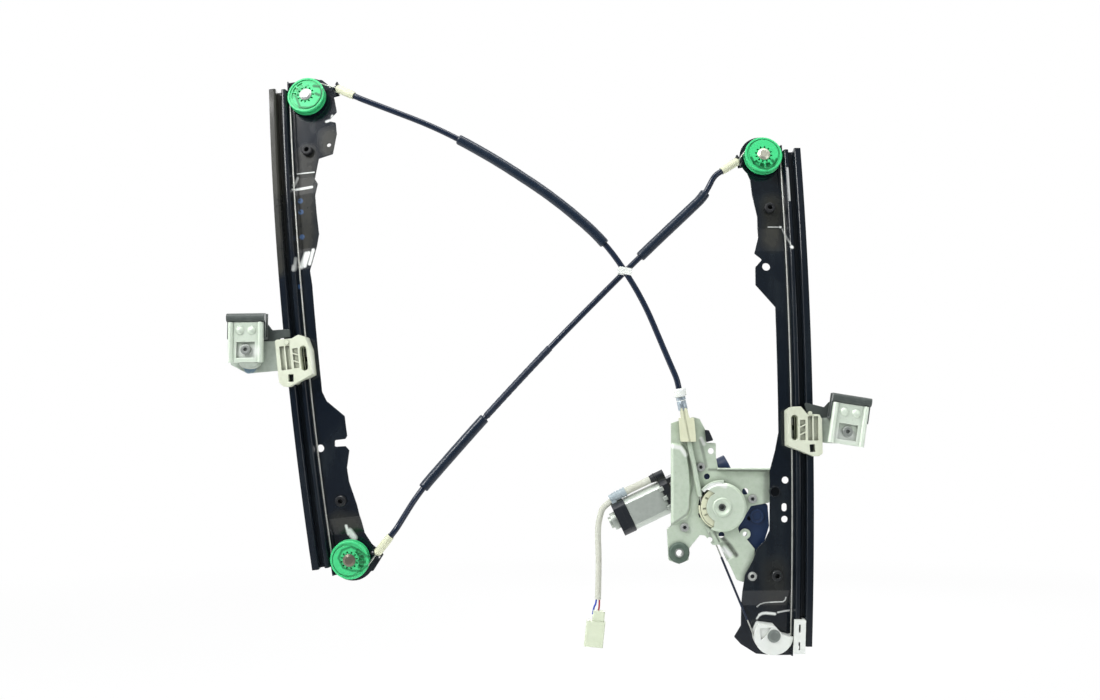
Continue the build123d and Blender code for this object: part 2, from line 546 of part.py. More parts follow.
def glass_clamp():
    """The front plate of the clamp: side ribs, two pressed bumps and a sunk screw panel."""
    sheet = front_prism(Rectangle(CLAMP_WIDTH, CLAMP_TALL), -CLAMP_FRONT, -RUBBER_FRONT)
    for side in (-1, 1):
        rib = Pos(side * RIB_AT, -CLAMP_FRONT, 0) * Cylinder(RIB_RADIUS, CLAMP_TALL)
        half = Pos(side * RIB_AT, -CLAMP_FRONT - RIB_RADIUS, 0) * Box(2 * RIB_RADIUS, 2 * RIB_RADIUS, CLAMP_TALL)
        sheet = sheet + (rib & half)
        bump = Pos(side * 6.0, -CLAMP_FRONT + 3.2, 12.0) * Sphere(5.6)
        front = Pos(0, -CLAMP_FRONT - 5, 0) * Box(40, 10, 60)
        sheet = sheet + (bump & front)
    tall = PANEL_TOP - PANEL_FOOT
    middle = (PANEL_TOP + PANEL_FOOT) / 2
    panel_back = RUBBER_FRONT - PANEL_STEP
    tray = front_prism(Pos(0, middle) * Rectangle(2 * PANEL_WIDE, tall), -CLAMP_FRONT, -panel_back)
    bowl = front_prism(Pos(0, middle) * Rectangle(2 * (PANEL_WIDE - CLAMP_SHEET), tall - 2 * CLAMP_SHEET),
                       -CLAMP_FRONT - 1, -panel_back - CLAMP_SHEET)
    sheet = sheet + tray - bowl
    boss = bar_y(0, -SCREW_DROP, SCREW_RADIUS + 2.4, -panel_back, -ARM_FRONT)
    return sheet + boss - bar_y(0, -SCREW_DROP, SCREW_RADIUS + 0.2, -40, 0)


def clamp_rubber():
    """A folded rubber lining with the slot that takes the glass's lower edge."""
    foot, top = PANEL_TOP + 1.5, CLAMP_TALL / 2 + RUBBER_RISE
    middle = (foot + top) / 2
    depth = RUBBER_FRONT - ARM_FRONT
    body = Pos(0, -(ARM_FRONT + depth / 2), middle) * Box(RUBBER_LENGTH, depth, top - foot)
    lip = Pos(0, -RUBBER_FRONT - RUBBER_ROLL / 2, top - RUBBER_RISE / 2 + 0.2) \
        * Box(RUBBER_LENGTH, RUBBER_ROLL, RUBBER_RISE - 0.4)
    lip = fillet(lip.edges().filter_by(Axis.X).group_by(Axis.Y)[0], 0.85 * RUBBER_ROLL)
    body = body + lip
    slot = Pos(0, -(ARM_FRONT + depth / 2), middle + RUBBER_WALL + 1) * Box(RUBBER_LENGTH + 2, GLASS_SLOT, top - foot + 2)
    return body - slot


def clamp_screw():
    """Pan-head screw with its washer, and the nut behind the arm."""
    seat = -(RUBBER_FRONT - PANEL_STEP + CLAMP_SHEET)
    head = bar_y(0, 0, SCREW_HEAD_RADIUS, seat - SCREW_HEAD_HEIGHT, seat)
    head = fillet(head.edges().sort_by(Axis.Y)[0], 1.2)
    socket = Pos(0, seat - SCREW_HEAD_HEIGHT, 0) * Rot(90, 0, 0) * extrude(RegularPolygon(2.2, 6), 1.8, both=True)
    shank = bar_y(0, 0, SCREW_RADIUS, seat, -ARM_BACK + 5.5)
    nut = Pos(0, -ARM_BACK, 0) * Rot(-90, 0, 0) * extrude(RegularPolygon(5.6, 6), 4.6)
    screw = head - socket + shank
    nut = nut - bar_y(0, 0, SCREW_RADIUS, -20, 0)
    return [Pos(0, 0, -SCREW_DROP) * screw, Pos(0, 0, -SCREW_DROP) * nut]


def nipples():
    """Two crimped cable ends, head to head in the slider's oval window."""
    pair = []
    for side in (-1, 1):
        place = Pos(ROPE_LINE, -ROPE_HEIGHT, NIPPLE_WINDOW_AT + side * (NIPPLE_WINDOW - NIPPLE_LENGTH) / 2)
        pair.append(place * (Cylinder(NIPPLE_RADIUS, NIPPLE_LENGTH)
                             - Cylinder(ROPE_RADIUS + ROPE_GAP, NIPPLE_LENGTH + 1)))
    return pair


class Carrier:
    """One glass carrier, built about the crown of its rail and moved to its height."""

    def __init__(self, rail, slider_outline, slider_panel, slider_window, arm_outline, clamp_at, clamp_tilt):
        self.rail, self.arm_outline = rail, arm_outline
        self.slider_outline, self.slider_panel, self.slider_window = slider_outline, slider_panel, slider_window
        self.clamp_at, self.clamp_tilt = clamp_at, clamp_tilt

    def put(self, shape):
        return self.rail.place(along(shape, CARRIER_HEIGHT))

    def clamped(self, shape):
        return self.put(in_clamp(shape, self.clamp_at, self.clamp_tilt))

    def screw_place(self):
        tilt = math.radians(self.clamp_tilt)
        return (self.clamp_at[0] + SCREW_DROP * math.sin(tilt), self.clamp_at[1] - SCREW_DROP * math.cos(tilt))

    def pieces(self, side):
        return {
            f"{side}_slider": self.put(slider(self.slider_outline, arm_shape(self.arm_outline),
                                              self.slider_panel, self.slider_window)),
            f"{side}_carrier_arm": self.put(carrier_arm(self.arm_outline, self.screw_place())),
            f"{side}_glass_clamp": self.clamped(glass_clamp()),
            f"{side}_clamp_rubber": self.clamped(clamp_rubber()),
            f"{side}_clamp_screw": [self.clamped(piece) for piece in clamp_screw()],
            f"{side}_cable_nipples": [self.put(piece) for piece in nipples()],
        }


LEFT_CARRIER = Carrier(LEFT, LEFT_SLIDER_OUTLINE, LEFT_SLIDER_PANEL, LEFT_SLIDER_WINDOW,
                       LEFT_ARM_OUTLINE, (61.5, 24.0), 6.5)
RIGHT_CARRIER = Carrier(RIGHT, RIGHT_SLIDER_OUTLINE, RIGHT_SLIDER_PANEL, RIGHT_SLIDER_WINDOW,
                        RIGHT_ARM_OUTLINE, (58.5, 4.5), -9.0)


# ================================================================ cable, conduits and sleeves
CONDUIT_RADIUS = 3.0
FOAM_RADIUS = 5.4
TAPE_RADIUS = 3.7
FERRULE_RADIUS = 4.2
FERRULE_BITE = 4.0           # how far a rope runs into a ferrule
LEAD_IN = 12.0               # straight conduit at each fitting
# where each conduit's ferrule starts and ends, in its rail's own frame
TOP_LEFT_FERRULE = ((-43.5, TOP_LEFT_HEIGHT + 4.8), (-59.1, TOP_LEFT_HEIGHT - 5.5))
BOTTOM_LEFT_FERRULE = ((-38.6, BOTTOM_LEFT_HEIGHT + 2.3), (-53.5, BOTTOM_LEFT_HEIGHT + 16.7))
TOP_RIGHT_FERRULE = ((-37.6, TOP_RIGHT_HEIGHT - 5.6), (-53.2, TOP_RIGHT_HEIGHT - 16.0))
EAR_WIDE, EAR_SHEET = 10.0, 1.5
EAR_SLOT_ROOM = 2.0          # what the slot is wider than the rope
EAR_GAP = 0.05               # between a rail's ear and the ferrule that butts on it
ADJUSTER_FOOT = (-102.6, -0.9, 76.0)
ADJUSTER_LENGTH = 12.4


def rail_rope(rail, top, bottom):
    """The rope of one rail: from ferrule to ferrule round both pulleys.

    top and bottom are (height, ferrule), with no ferrule where the rope goes on to the drum.
    """
    pieces = []
    circle = Circle(ROPE_RADIUS)
    run = arc_sweep(Pos(ROPE_LINE, -ROPE_HEIGHT) * circle, bottom[0], top[0])
    pieces.append(run)
    for (height, ferrule), upper in ((top, True), (bottom, False)):
        start = Pos(ROPE_WRAP, 0, 0) * circle
        if ferrule is None:
            wrap = revolve(start, Axis((0, 0, 0), (0, 1, 0)), 360 - GUIDE_LEAVE)
            pieces.append(along(Pos(PULLEY_AT, -ROPE_HEIGHT, 0) * wrap, height))
            continue
        mouth, inner = [(x - PULLEY_AT, at - height) for x, at in ferrule]
        toward = math.degrees(math.atan2(mouth[1], mouth[0]))
        half = math.degrees(math.acos(ROPE_WRAP / math.hypot(*mouth)))
        leave = toward - half if upper else toward + half
        turn = leave % 360 if upper else (-leave) % 360
        wrap = revolve(start, Axis((0, 0, 0), (0, -1 if upper else 1, 0)), turn)
        out = Vector(ROPE_WRAP * math.cos(math.radians(leave)), 0, ROPE_WRAP * math.sin(math.radians(leave)))
        bend = Vector(mouth[0], 0, mouth[1])
        end = bend + (Vector(inner[0], 0, inner[1]) - bend).normalized() * FERRULE_BITE
        line = FilletPolyline(out, bend, end, radius=4.0)
        lead = sweep(Plane(line @ 0, z_dir=line % 0) * circle, path=line)
        pieces.append(along(Pos(PULLEY_AT, -ROPE_HEIGHT, 0) * (wrap + lead), height))
    rope = pieces[0]
    for piece in pieces[1:]:
        rope = rope + piece
    return rail.place(rope)


def ferrule_points(rail, pulley_height, ferrule):
    """A ferrule's two ends, and the end of the straight conduit beyond it, in its pulley's plane."""
    (x0, z0), (x1, z1) = ferrule
    reach = 1 + LEAD_IN / math.hypot(x1 - x0, z1 - z0)
    ends = [(x0, z0), (x1, z1), (x0 + (x1 - x0) * reach, z0 + (z1 - z0) * reach)]
    angle = math.radians(angle_at(pulley_height))
    points = []
    for x, z in ends:
        y, z = -ROPE_HEIGHT - CURVE_RADIUS, z - pulley_height
        turned = (y * math.cos(angle) + z * math.sin(angle) + CURVE_RADIUS,
                  z * math.cos(angle) - y * math.sin(angle))
        across = -x if rail.mirrored else x
        points.append(tuple((rail.location * Pos(across, *turned)).position))
    return points


def upper_conduit_route():
    _, seat, lead = ferrule_points(LEFT, TOP_LEFT_HEIGHT, TOP_LEFT_FERRULE)
    top = adjuster_top(ADJUSTER_LENGTH)
    last = adjuster_top(ADJUSTER_LENGTH + LEAD_IN)
    return [seat, lead, (-349.0, 30.0, TOP_LEFT_HEIGHT + 33.5), (-291.0, 23.5, 326.0), (-229.0, 19.5, 284.5),
            (-177.0, 14.5, 239.0), (-140.5, 9.5, 181.0), (-118.5, 3.5, 127.0), last, top]


def crossing_conduit_route():
    _, low, low_lead = ferrule_points(LEFT, BOTTOM_LEFT_HEIGHT, BOTTOM_LEFT_FERRULE)
    _, high, high_lead = ferrule_points(RIGHT, TOP_RIGHT_HEIGHT, TOP_RIGHT_FERRULE)
    return [low, low_lead, (-366.0, 15.5, BOTTOM_LEFT_HEIGHT + 137.7), (-303.5, 17.5, 58.5), (-235.0, 19.5, 132.5),
            (-147.0, 25.0, 221.5), (-76.0, 35.0, TOP_RIGHT_HEIGHT - 42.2), high_lead, high]


def piece_of_path(path, start, end):
    """The stretch of a path between two distances, as a wire of its own."""
    edges, travelled = [], 0.0
    for edge in path.edges():
        low, high = max(start, travelled), min(end, travelled + edge.length)
        if high - low > 0.01:
            a, b = (low - travelled) / edge.length, (high - travelled) / edge.length
            if edge.geom_type == GeomType.LINE:
                edges.append(Edge.make_line(edge @ a, edge @ b))
            else:
                edges.append(Edge.make_three_point_arc(edge @ a, edge @ ((a + b) / 2), edge @ b))
        travelled += edge.length
    return Wire(edges)


def sleeve_on(path, start, end, radius, bore):
    """A sleeve round a conduit, between two distances along it."""
    wire = piece_of_path(path, start, end)
    return sweep(Plane(wire @ 0, z_dir=wire % 0) * (Circle(radius) - Circle(bore)), path=wire)


def route_path(points):
    return FilletPolyline(*points, radius=easy_radii(points))


def conduit(points):
    path = route_path(points)
    return sweep(Plane(path @ 0, z_dir=path % 0) * Circle(CONDUIT_RADIUS), path=path)


SLEEVE_BORE = CONDUIT_RADIUS + 0.05


def conduit_ferrules():
    pieces = []
    for rail, height, ferrule in ((LEFT, TOP_LEFT_HEIGHT, TOP_LEFT_FERRULE),
                                  (LEFT, BOTTOM_LEFT_HEIGHT, BOTTOM_LEFT_FERRULE),
                                  (RIGHT, TOP_RIGHT_HEIGHT, TOP_RIGHT_FERRULE)):
        start, end = [Vector(*p) for p in ferrule_points(rail, height, ferrule)[:2]]
        length = (end - start).length
        mouth = ROPE_RADIUS + 1.1
        seat = CONDUIT_RADIUS + 0.05
        line = Polyline((mouth, 0), (3.0, 0), (FERRULE_RADIUS, 2), (FERRULE_RADIUS, length - 1.5),
                        (seat + 0.7, length + 3), (seat, length + 3), (seat, length), (0, length),
                        (0, FERRULE_BITE), (mouth, FERRULE_BITE), close=True)
        cap = revolve(make_face(line), Axis.Y)
        pieces.append(Plane(start, z_dir=end - start) * Rot(90, 0, 0) * cap)
    return pieces


TIE_ON_UPPER, TIE_ON_CROSSING = 342.5, 361.5     # along the conduits
TIE_WIDE, TIE_TALL, TIE_WALL = 13.5, 7.0, 1.2


def conduit_tie(upper_path, crossing_path):
    """The clip that holds the two conduits together where they cross."""
    spots = [(upper_path, TIE_ON_UPPER), (crossing_path, TIE_ON_CROSSING)]
    front, back = [path @ (distance / path.length) for path, distance in spots]
    middle = (front + back) * 0.5
    deep = back.Y - front.Y + 2 * (CONDUIT_RADIUS + TIE_WALL)
    clip = Box(TIE_WIDE, deep, TIE_TALL)
    clip = Pos(*middle) * Rot(0, 10, 0) * fillet(clip.edges().filter_by(Axis.Y), 1.5)
    for path, distance in spots:
        wire = piece_of_path(path, distance - TIE_WIDE, distance + TIE_WIDE)
        clip = clip - sweep(Plane(wire @ 0, z_dir=wire % 0) * Circle(SLEEVE_BORE), path=wire)
    return clip


# ================================================================ drive unit
PLATE_OUTLINE = [
    (-113.1, 56.7), (-91.1, 62.7), (-84.5, 61.0), (-78.1, 48.7), (-78.2, 37.0), (-68.2, 36.7), (-68.2, 22.7),
    (-66.3, 11.7), (-6.0, 11.7), (-6.0, -18.2), (-16.4, -23.1), (-33.4, -26.1), (-46.5, -48.0), (-44.0, -56.0),
    (-39.6, -57.0), (-29.7, -68.9), (-31.0, -98.0), (-41.8, -101.7), (-48.0, -99.7), (-54.3, -86.0), (-65.0, -64.5), (-72.0, -65.0),
    (-79.5, -55.6), (-84.5, -55.0), (-95.0, -68.0), (-96.0, -80.0), (-105.5, -84.0), (-116.0, -80.0),
    (-117.5, -49.0), (-113.4, -45.5),
]


def at_drum(shape):
    return Pos(DRUM_AT[0], 0, DRUM_AT[1]) * shape


PANEL_RISE, PRESS_SLOPE = 2.6, 40.0
RIDGE_WIDE, RIDGE_RISE = 6.0, 1.3
DENT_DEPTH = 2.4
PLATE_FLANGE_DEPTH = 6.0     # how far the upper edge is turned to the front
EAR_AT, EAR_RADIUS, EAR_HOLE_RADIUS = (-39.4, -54.1), 5.4, 2.3
SQUARE_AT, SQUARE_SIDE = (-83.4, -35.1), 4.6
RAISED_PANEL = [
    (-113.2, 37.0), (-102.0, 36.5), (-96.5, 29.0), (-94.0, 12.0), (-93.0, -10.0), (-93.6, -31.0), (-97.5, -39.5),
    (-113.2, -46.0),
]
LEG_DENT = [(-66.2, -61.5), (-55.0, -60.5), (-46.8, -76.0), (-57.2, -82.0)]


def press(points, rise, front, back):
    """A pressed form: the solid that stands out of the sheet, and what is hollow behind it.

    A rise below 0 is pressed away from the front.
    """
    shape = outline(points, 1.6)
    inner = offset(shape, -0.45 * PLATE_SHEET)
    if rise > 0:
        out = Pos(0, front, 0) * extrude(Plane.XZ * shape, amount=rise, taper=PRESS_SLOPE)
        hollow = Pos(0, back, 0) * extrude(Plane.XZ * inner, amount=rise, taper=PRESS_SLOPE)
    else:
        out = Pos(0, back, 0) * extrude(-Plane.XZ * mirror(shape, Plane.XZ), amount=-rise, taper=PRESS_SLOPE)
        hollow = Pos(0, front, 0) * extrude(-Plane.XZ * mirror(inner, Plane.XZ), amount=-rise, taper=PRESS_SLOPE)
    return out, hollow


def rope_ridge(front, back, wide):
    """The ridge pressed over the rope that leaves the drum behind the plate."""
    line = lower_feed()
    a, b = line @ 1, line @ 0.7
    run = math.degrees(math.atan2(b.Z - a.Z, b.X - a.X))
    length = math.hypot(b.X - a.X, b.Z - a.Z)
    slot = Pos((a.X + b.X) / 2, (a.Z + b.Z) / 2) * Rot(0, 0, run) * SlotOverall(length + wide, wide)
    return front_prism(slot, front, back)


def drive_plate():
    """The zinc-plated pressing that carries the motor, the drum and the cable's end guide."""
    shape = outline(PLATE_OUTLINE, 1.6) + Pos(*EAR_AT) * Circle(EAR_RADIUS)
    sheet = front_prism(shape, PLATE_FRONT, PLATE_BACK)
    for points, rise in ((RAISED_PANEL, PANEL_RISE), (LEG_DENT, -DENT_DEPTH)):
        out, hollow = press(points, rise, PLATE_FRONT, PLATE_BACK)
        sheet = sheet + out - hollow
    ridge = rope_ridge(PLATE_FRONT - RIDGE_RISE, PLATE_FRONT, RIDGE_WIDE) & front_prism(shape, -10, 20)
    ridge = ridge - at_drum(bar_y(0, 0, COVER_RADIUS + FACE_GAP, -10, PLATE_FRONT))
    sheet = sheet + ridge - rope_ridge(PLATE_BACK - RIDGE_RISE, PLATE_BACK + 1, RIDGE_WIDE - PLATE_SHEET)
    flange = Pos(-41.0, PLATE_BACK - PLATE_FLANGE_DEPTH / 2 - 1.0, 10.9) * Box(52.0, PLATE_FLANGE_DEPTH + 2.0, 1.6)
    sheet = sheet + flange
    sheet = sheet - at_drum(bar_y(0, 0, COVER_RADIUS - 1.5, PLATE_FRONT - 5, PLATE_BACK + 5))
    for x, z, radius in PLATE_HOLES:
        sheet = sheet - bar_y(x, z, radius, PLATE_FRONT - 6, PLATE_BACK + 6)
    sheet = sheet - bar_y(*EAR_AT, EAR_HOLE_RADIUS, PLATE_FRONT - 1, PLATE_BACK + 1)
    square = Pos(*SQUARE_AT) * Rot(0, 0, 20) * Rectangle(SQUARE_SIDE, SQUARE_SIDE)
    sheet = sheet - front_prism(square, PLATE_FRONT - 6, PLATE_BACK + 6)
    for place in RIVETS:
        x, _, z = RIGHT.point(*place)
        sheet = sheet - bar_y(x, z, RIVET_RADIUS, PLATE_FRONT - 3, PLATE_BACK + 3)
    return sheet - bar_y(*GROMMET_AT, GROMMET_NECK, PLATE_FRONT - 3, PLATE_BACK + 3)


GROMMET_AT = (-105.5, -72.5)
GROMMET_NECK, GROMMET_RADIUS = 7.0, 10.4
GROMMET_BORE = 3.2
HOUSING_SCREWS = [(-83.6, 12.7), (-32.0, -19.0), (-99.9, -47.4)]
HOUSING_SCREW_RADIUS = 2.0
PLATE_HOLES = [
    (-73.2, 28.7, 3.0), (-77.3, 3.2, 3.0), (-39.0, -11.7, 3.3), (-63.0, -54.9, 3.0), (-74.7, -59.8, 2.7),
] + [(x, z, HOUSING_SCREW_RADIUS + 0.2) for x, z in HOUSING_SCREWS]


def drum_cover():
    """The pressed dome over the drum, open on the side where the cable runs in."""
    front, back = COVER_FRONT, PLATE_FRONT
    line = Polyline((SPINDLE_RADIUS + 0.3, front + 1.4), (5.0, front + 1.4), (7.4, front), (8.8, front),
                    (9.6, front + 1.2), (COVER_RADIUS - 2.5, front + 1.2),
                    (COVER_RADIUS, front + 3.7), (COVER_RADIUS, back), (COVER_RADIUS - 1.5, back),
                    (COVER_RADIUS - 1.5, front + 4.3), (COVER_RADIUS - 3.1, front + 2.7),
                    (SPINDLE_RADIUS + 0.3, front + 2.7), close=True)
    dome = revolve(make_face(line), Axis.Y)
    mouth = make_face(Polyline((-5, 13), (-40, 30), (-40, -45), (-8, -19), close=True)) - Circle(15.5)
    dome = dome - front_prism(mouth, front - 1, back + 1)
    # the bright rolled rim above the mouth
    fan = make_face(Polyline((0, 0), (4, 60), (-60, 60), (-60, 50.3), close=True))
    rim = (Circle(COVER_RADIUS + RIM_WIDE) - Circle(COVER_RADIUS - 1.5)) & fan
    return at_drum(dome + front_prism(rim, front + 2.2, back))


def cable_drum():
    """The grooved drum, its flanges slotted for the cable ends."""
    root = DRUM_WRAP - ROPE_RADIUS - ROPE_GAP
    points = [(SPINDLE_RADIUS, DRUM_FRONT), (DRUM_RADIUS, DRUM_FRONT), (DRUM_RADIUS, DRUM_FRONT + DRUM_FLANGE)]
    for groove in range(GROOVES):
        y = FIRST_GROOVE + groove * GROOVE_PITCH
        points += [(root, y - 0.8), (root, y + 0.8), (root + 0.7, y + 0.9)]
    points[-1] = (DRUM_RADIUS, DRUM_BACK - DRUM_FLANGE)
    points += [(DRUM_RADIUS, DRUM_BACK), (SPINDLE_RADIUS, DRUM_BACK)]
    drum = revolve(make_face(Polyline(*points, close=True)), Axis.Y)
    for turn in (150, 185, 205):
        slot = front_prism(Rot(0, 0, turn) * Pos(17.6, 0) * Rectangle(3.4, 1.8), DRUM_FRONT - 1, DRUM_FRONT + 1.2)
        drum = drum - slot
    return at_drum(drum)


def drum_spindle():
    shaft = bar_y(0, 0, SPINDLE_RADIUS, COVER_FRONT + 2.0, HOUSING_BACK - 6.0)
    socket = extrude(RegularPolygon(SPINDLE_RADIUS - 0.9, 6), 3.0)
    return at_drum(shaft - Pos(0, COVER_FRONT + 1.9, 0) * Rot(-90, 0, 0) * socket)


MOTOR_FOOT = (DRUM_AT[0] - WORM_DISTANCE * math.sin(math.radians(MOTOR_TILT)),
              DRUM_AT[1] + WORM_DISTANCE * math.cos(math.radians(MOTOR_TILT)))


def on_motor(shape):
    """Place a shape built along the motor's axis (X, towards the gears)."""
    return Pos(MOTOR_FOOT[0], MOTOR_Y, MOTOR_FOOT[1]) * Rot(0, -MOTOR_TILT, 0) * shape


def bar_x(radius, start, end):
    return Pos((start + end) / 2, 0, 0) * Rot(0, 90, 0) * Cylinder(radius, end - start)


def flat_bar_x(wide, deep, start, end):
    """A bar along X, round at its edges and flat on its two faces."""
    section = Circle(wide / 2) & Rectangle(deep, wide)
    return Pos(start, 0, 0) * Rot(0, 90, 0) * Rot(0, 0, 90) * extrude(section, end - start)


CAN_START, CAN_END = -91.0, -46.0
BAND_START = -99.0
CAP_START = -107.5
BRUSH_END = -24.0


def motor_can():
    can = flat_bar_x(CAN_WIDE, CAN_DEEP, CAN_START, CAN_END)
    return on_motor(fillet(can.edges().filter_by(GeomType.CIRCLE).group_by(Axis.X)[0], 1.0))


def motor_end_band():
    return on_motor(flat_bar_x(CAN_WIDE + 1.6, CAN_DEEP + 1.6, BAND_START, CAN_START))


def motor_end_cap():
    cap = bar_x(9.0, CAP_START + 3, BAND_START) + bar_x(6.0, CAP_START, CAP_START + 3)
    return on_motor(cap)


def brush_holder():
    body = flat_bar_x(CAN_WIDE + 4, CAN_DEEP + 3, CAN_END, CAN_END + 8)
    block = Pos((CAN_END + 8 + BRUSH_END) / 2, 0, 4) * Box(BRUSH_END - CAN_END - 8, CAN_DEEP, 26)
    lead_exit = Pos(0, LEAD_Y - MOTOR_Y, LEAD_LIFT) * bar_x(CORD_RADIUS + 1.2, CAN_END, CAN_END + 9)
    foot = Pos(CAN_END + 4.5, LEAD_Y - MOTOR_Y, LEAD_LIFT - 4) * Box(9.0, 6.0, 8.0)
    return on_motor(body + block + lead_exit + foot)


HOUSING_LOBE = [
    (-50.0, -18.0), (-28.0, -18.5), (-16.5, -25.0), (-15.0, -46.0), (-20.0, -62.0), (-28.0, -76.0), (-36.5, -70.0),
    (-41.0, -63.5), (-50.0, -50.0),
]
LOBE_DEPTH = 12.0
LOBE_BOSS_AT, LOBE_BOSS_RADIUS = (-27.4, -36.4), 7.0
LOBE_PIT_AT, LOBE_PIT_RADIUS = (-35.0, -38.5), 2.2


def gear_housing():
    """The moulded gearbox: round worm-wheel chamber, worm tunnel, side lobe and three screw ears."""
    front = PLATE_BACK
    body = at_drum(bar_y(0, 0, HOUSING_RADIUS, front, HOUSING_BACK))
    tunnel = on_motor(bar_x(12.5, BRUSH_END, 26.0))
    body = body + tunnel
    for x, z in HOUSING_SCREWS:
        ear = bar_y(x, z, 5.5, front, front + 10)
        reach = Vector(DRUM_AT[0] - x, 0, DRUM_AT[1] - z)
        angle = math.degrees(math.atan2(reach.Z, reach.X))
        rib = Pos((x + DRUM_AT[0]) / 2, front + 4, (z + DRUM_AT[1]) / 2) * Rot(0, -angle, 0) \
            * Box(reach.length, 8, 8)
        body = body + ear + rib
    lobe = front_prism(outline(HOUSING_LOBE, 3.0), front, front + LOBE_DEPTH)
    boss = bar_y(*LOBE_BOSS_AT, LOBE_BOSS_RADIUS, front - 1.4, front) \
        - bar_y(*LOBE_BOSS_AT, LOBE_BOSS_RADIUS - 2.2, front - 2, front - 0.6)
    body = body + lobe + boss - bar_y(*LOBE_PIT_AT, LOBE_PIT_RADIUS, front - 1, front + 4)
    body = body - bar_y(*EAR_AT, EAR_HOLE_RADIUS + 1.2, front - 1, HOUSING_BACK + 1)
    well = at_drum(bar_y(0, 0, DRUM_RADIUS + 1.5, front - 1, DRUM_BACK + 0.8))
    bore = at_drum(bar_y(0, 0, SPINDLE_RADIUS + 0.05, front, HOUSING_BACK - 5.5))
    body = body - well - bore
    rope = lower_feed()
    body = body - round_bar(rope @ 0, rope @ 1, ROPE_RADIUS + 0.6)
    for x, z in HOUSING_SCREWS:
        body = body - bar_y(x, z, HOUSING_SCREW_RADIUS, front - 1, front + 8)
    return body


def housing_screws():
    screws = []
    for x, z in HOUSING_SCREWS:
        head = bar_y(x, z, 3.9, PLATE_FRONT - 2.2, PLATE_FRONT)
        socket = bar_y(x, z, 1.6, PLATE_FRONT - 3, PLATE_FRONT - 1.0)
        screws.append(head + bar_y(x, z, HOUSING_SCREW_RADIUS, PLATE_FRONT, PLATE_BACK + 7) - socket)
    return screws


def plate_rivets():
    """The two rivets that join the drive plate to the right rail."""
    rivets = []
    for place in RIVETS:
        x, y, z = RIGHT.point(*place)
        face = y - SHEET / 2 - RIVET_BOSS_RISE
        rivet = bar_y(x, z, RIVET_RADIUS, face, PLATE_BACK)
        rivet = rivet + bar_y(x, z, RIVET_HEAD_RADIUS, face - RIVET_HEAD_HEIGHT, face)
        rivet = rivet + bar_y(x, z, RIVET_HEAD_RADIUS - 0.6, PLATE_BACK, PLATE_BACK + RIVET_HEAD_HEIGHT)
        rivets.append(rivet)
    return rivets


def plate_grommet():
    """The rubber bush at the plate's free corner."""
    line = Polyline((GROMMET_BORE + 1.3, PLATE_FRONT - 3.5), (8.6, PLATE_FRONT - 3.5), (GROMMET_RADIUS, PLATE_FRONT - 2),
                    (GROMMET_RADIUS, PLATE_FRONT), (GROMMET_NECK, PLATE_FRONT), (GROMMET_NECK, PLATE_BACK),
                    (GROMMET_RADIUS, PLATE_BACK), (GROMMET_RADIUS, PLATE_BACK + 2), (8.6, PLATE_BACK + 3.5),
                    (GROMMET_BORE + 1.3, PLATE_BACK + 3.5), close=True)
    return Pos(GROMMET_AT[0], 0, GROMMET_AT[1]) * revolve(make_face(line), Axis.Y)


def grommet_sleeve():
    x, z = GROMMET_AT
    sleeve = bar_y(x, z, GROMMET_BORE + 1.3, PLATE_FRONT - 4, PLATE_BACK + 4)
    return sleeve - bar_y(x, z, GROMMET_BORE, PLATE_FRONT - 6, PLATE_BACK + 6)


def cable_inlet_guide():
    """The cream nylon block that leads the cable from its conduit to the drum."""
    block = outline([(-105.8, 62.0), (-103.4, 62.0), (-104.4, 71.5), (-98.0, 71.5), (-95.6, 62.0), (-90.8, 62.0),
                     (-88.8, 38.2), (-104.0, 38.2)], 0.8)
    body = front_prism(block, -5.5, PLATE_FRONT)
    return body - rope_way()


def feed_tangent(point, side=1):
    """Where a rope from a point meets the drum's left side."""
    u, v = point[0] - DRUM_AT[0], point[2] - DRUM_AT[1]
    toward = math.atan2(v, u)
    half = math.acos(DRUM_WRAP / math.hypot(u, v))
    angle = toward + side * half
    return DRUM_AT[0] + DRUM_WRAP * math.cos(angle), DRUM_AT[1] + DRUM_WRAP * math.sin(angle)


def upper_feed():
    """The straight rope from the adjuster to the drum."""
    x, z = feed_tangent(ADJUSTER_FOOT)
    return Edge.make_line(ADJUSTER_FOOT, (x, FIRST_GROOVE, z))


def adjuster_top(distance):
    """The point a distance up the adjuster, in line with the rope below it."""
    line = upper_feed()
    return tuple(line @ 0 - (line % 0) * distance)


def lower_feed():
    """The straight rope from the foot guide to the drum."""
    leave = math.radians(GUIDE_LEAVE)
    plane = ((PULLEY_AT + ROPE_WRAP * math.cos(leave), BOTTOM_RIGHT_HEIGHT + ROPE_WRAP * math.sin(leave)),) * 2
    start = ferrule_points(RIGHT, BOTTOM_RIGHT_HEIGHT, (plane[0], (plane[0][0] - 1, plane[0][1])))[0]
    x, z = feed_tangent(start, -1)
    return Edge.make_line(start, (x, LAST_GROOVE, z))


def round_bar(start, end, radius):
    """A straight round bar between two points."""
    line = Edge.make_line(start, end)
    return extrude(Plane(line @ 0, z_dir=line % 0) * Circle(radius), amount=line.length)


def rope_way():
    """The passage of the rope through the inlet guide, open to the front as a slot."""
    line = upper_feed()
    bore = round_bar(line @ 0, line @ 0.6, ROPE_RADIUS)
    a, b = line @ 0, line @ 0.6
    half = ROPE_RADIUS + 0.15
    slot = make_face(Polyline((a.X - half, a.Z), (a.X + half, a.Z), (b.X + half, b.Z), (b.X - half, b.Z), close=True))
    return bore + front_prism(slot, -8.0, min(a.Y, b.Y))


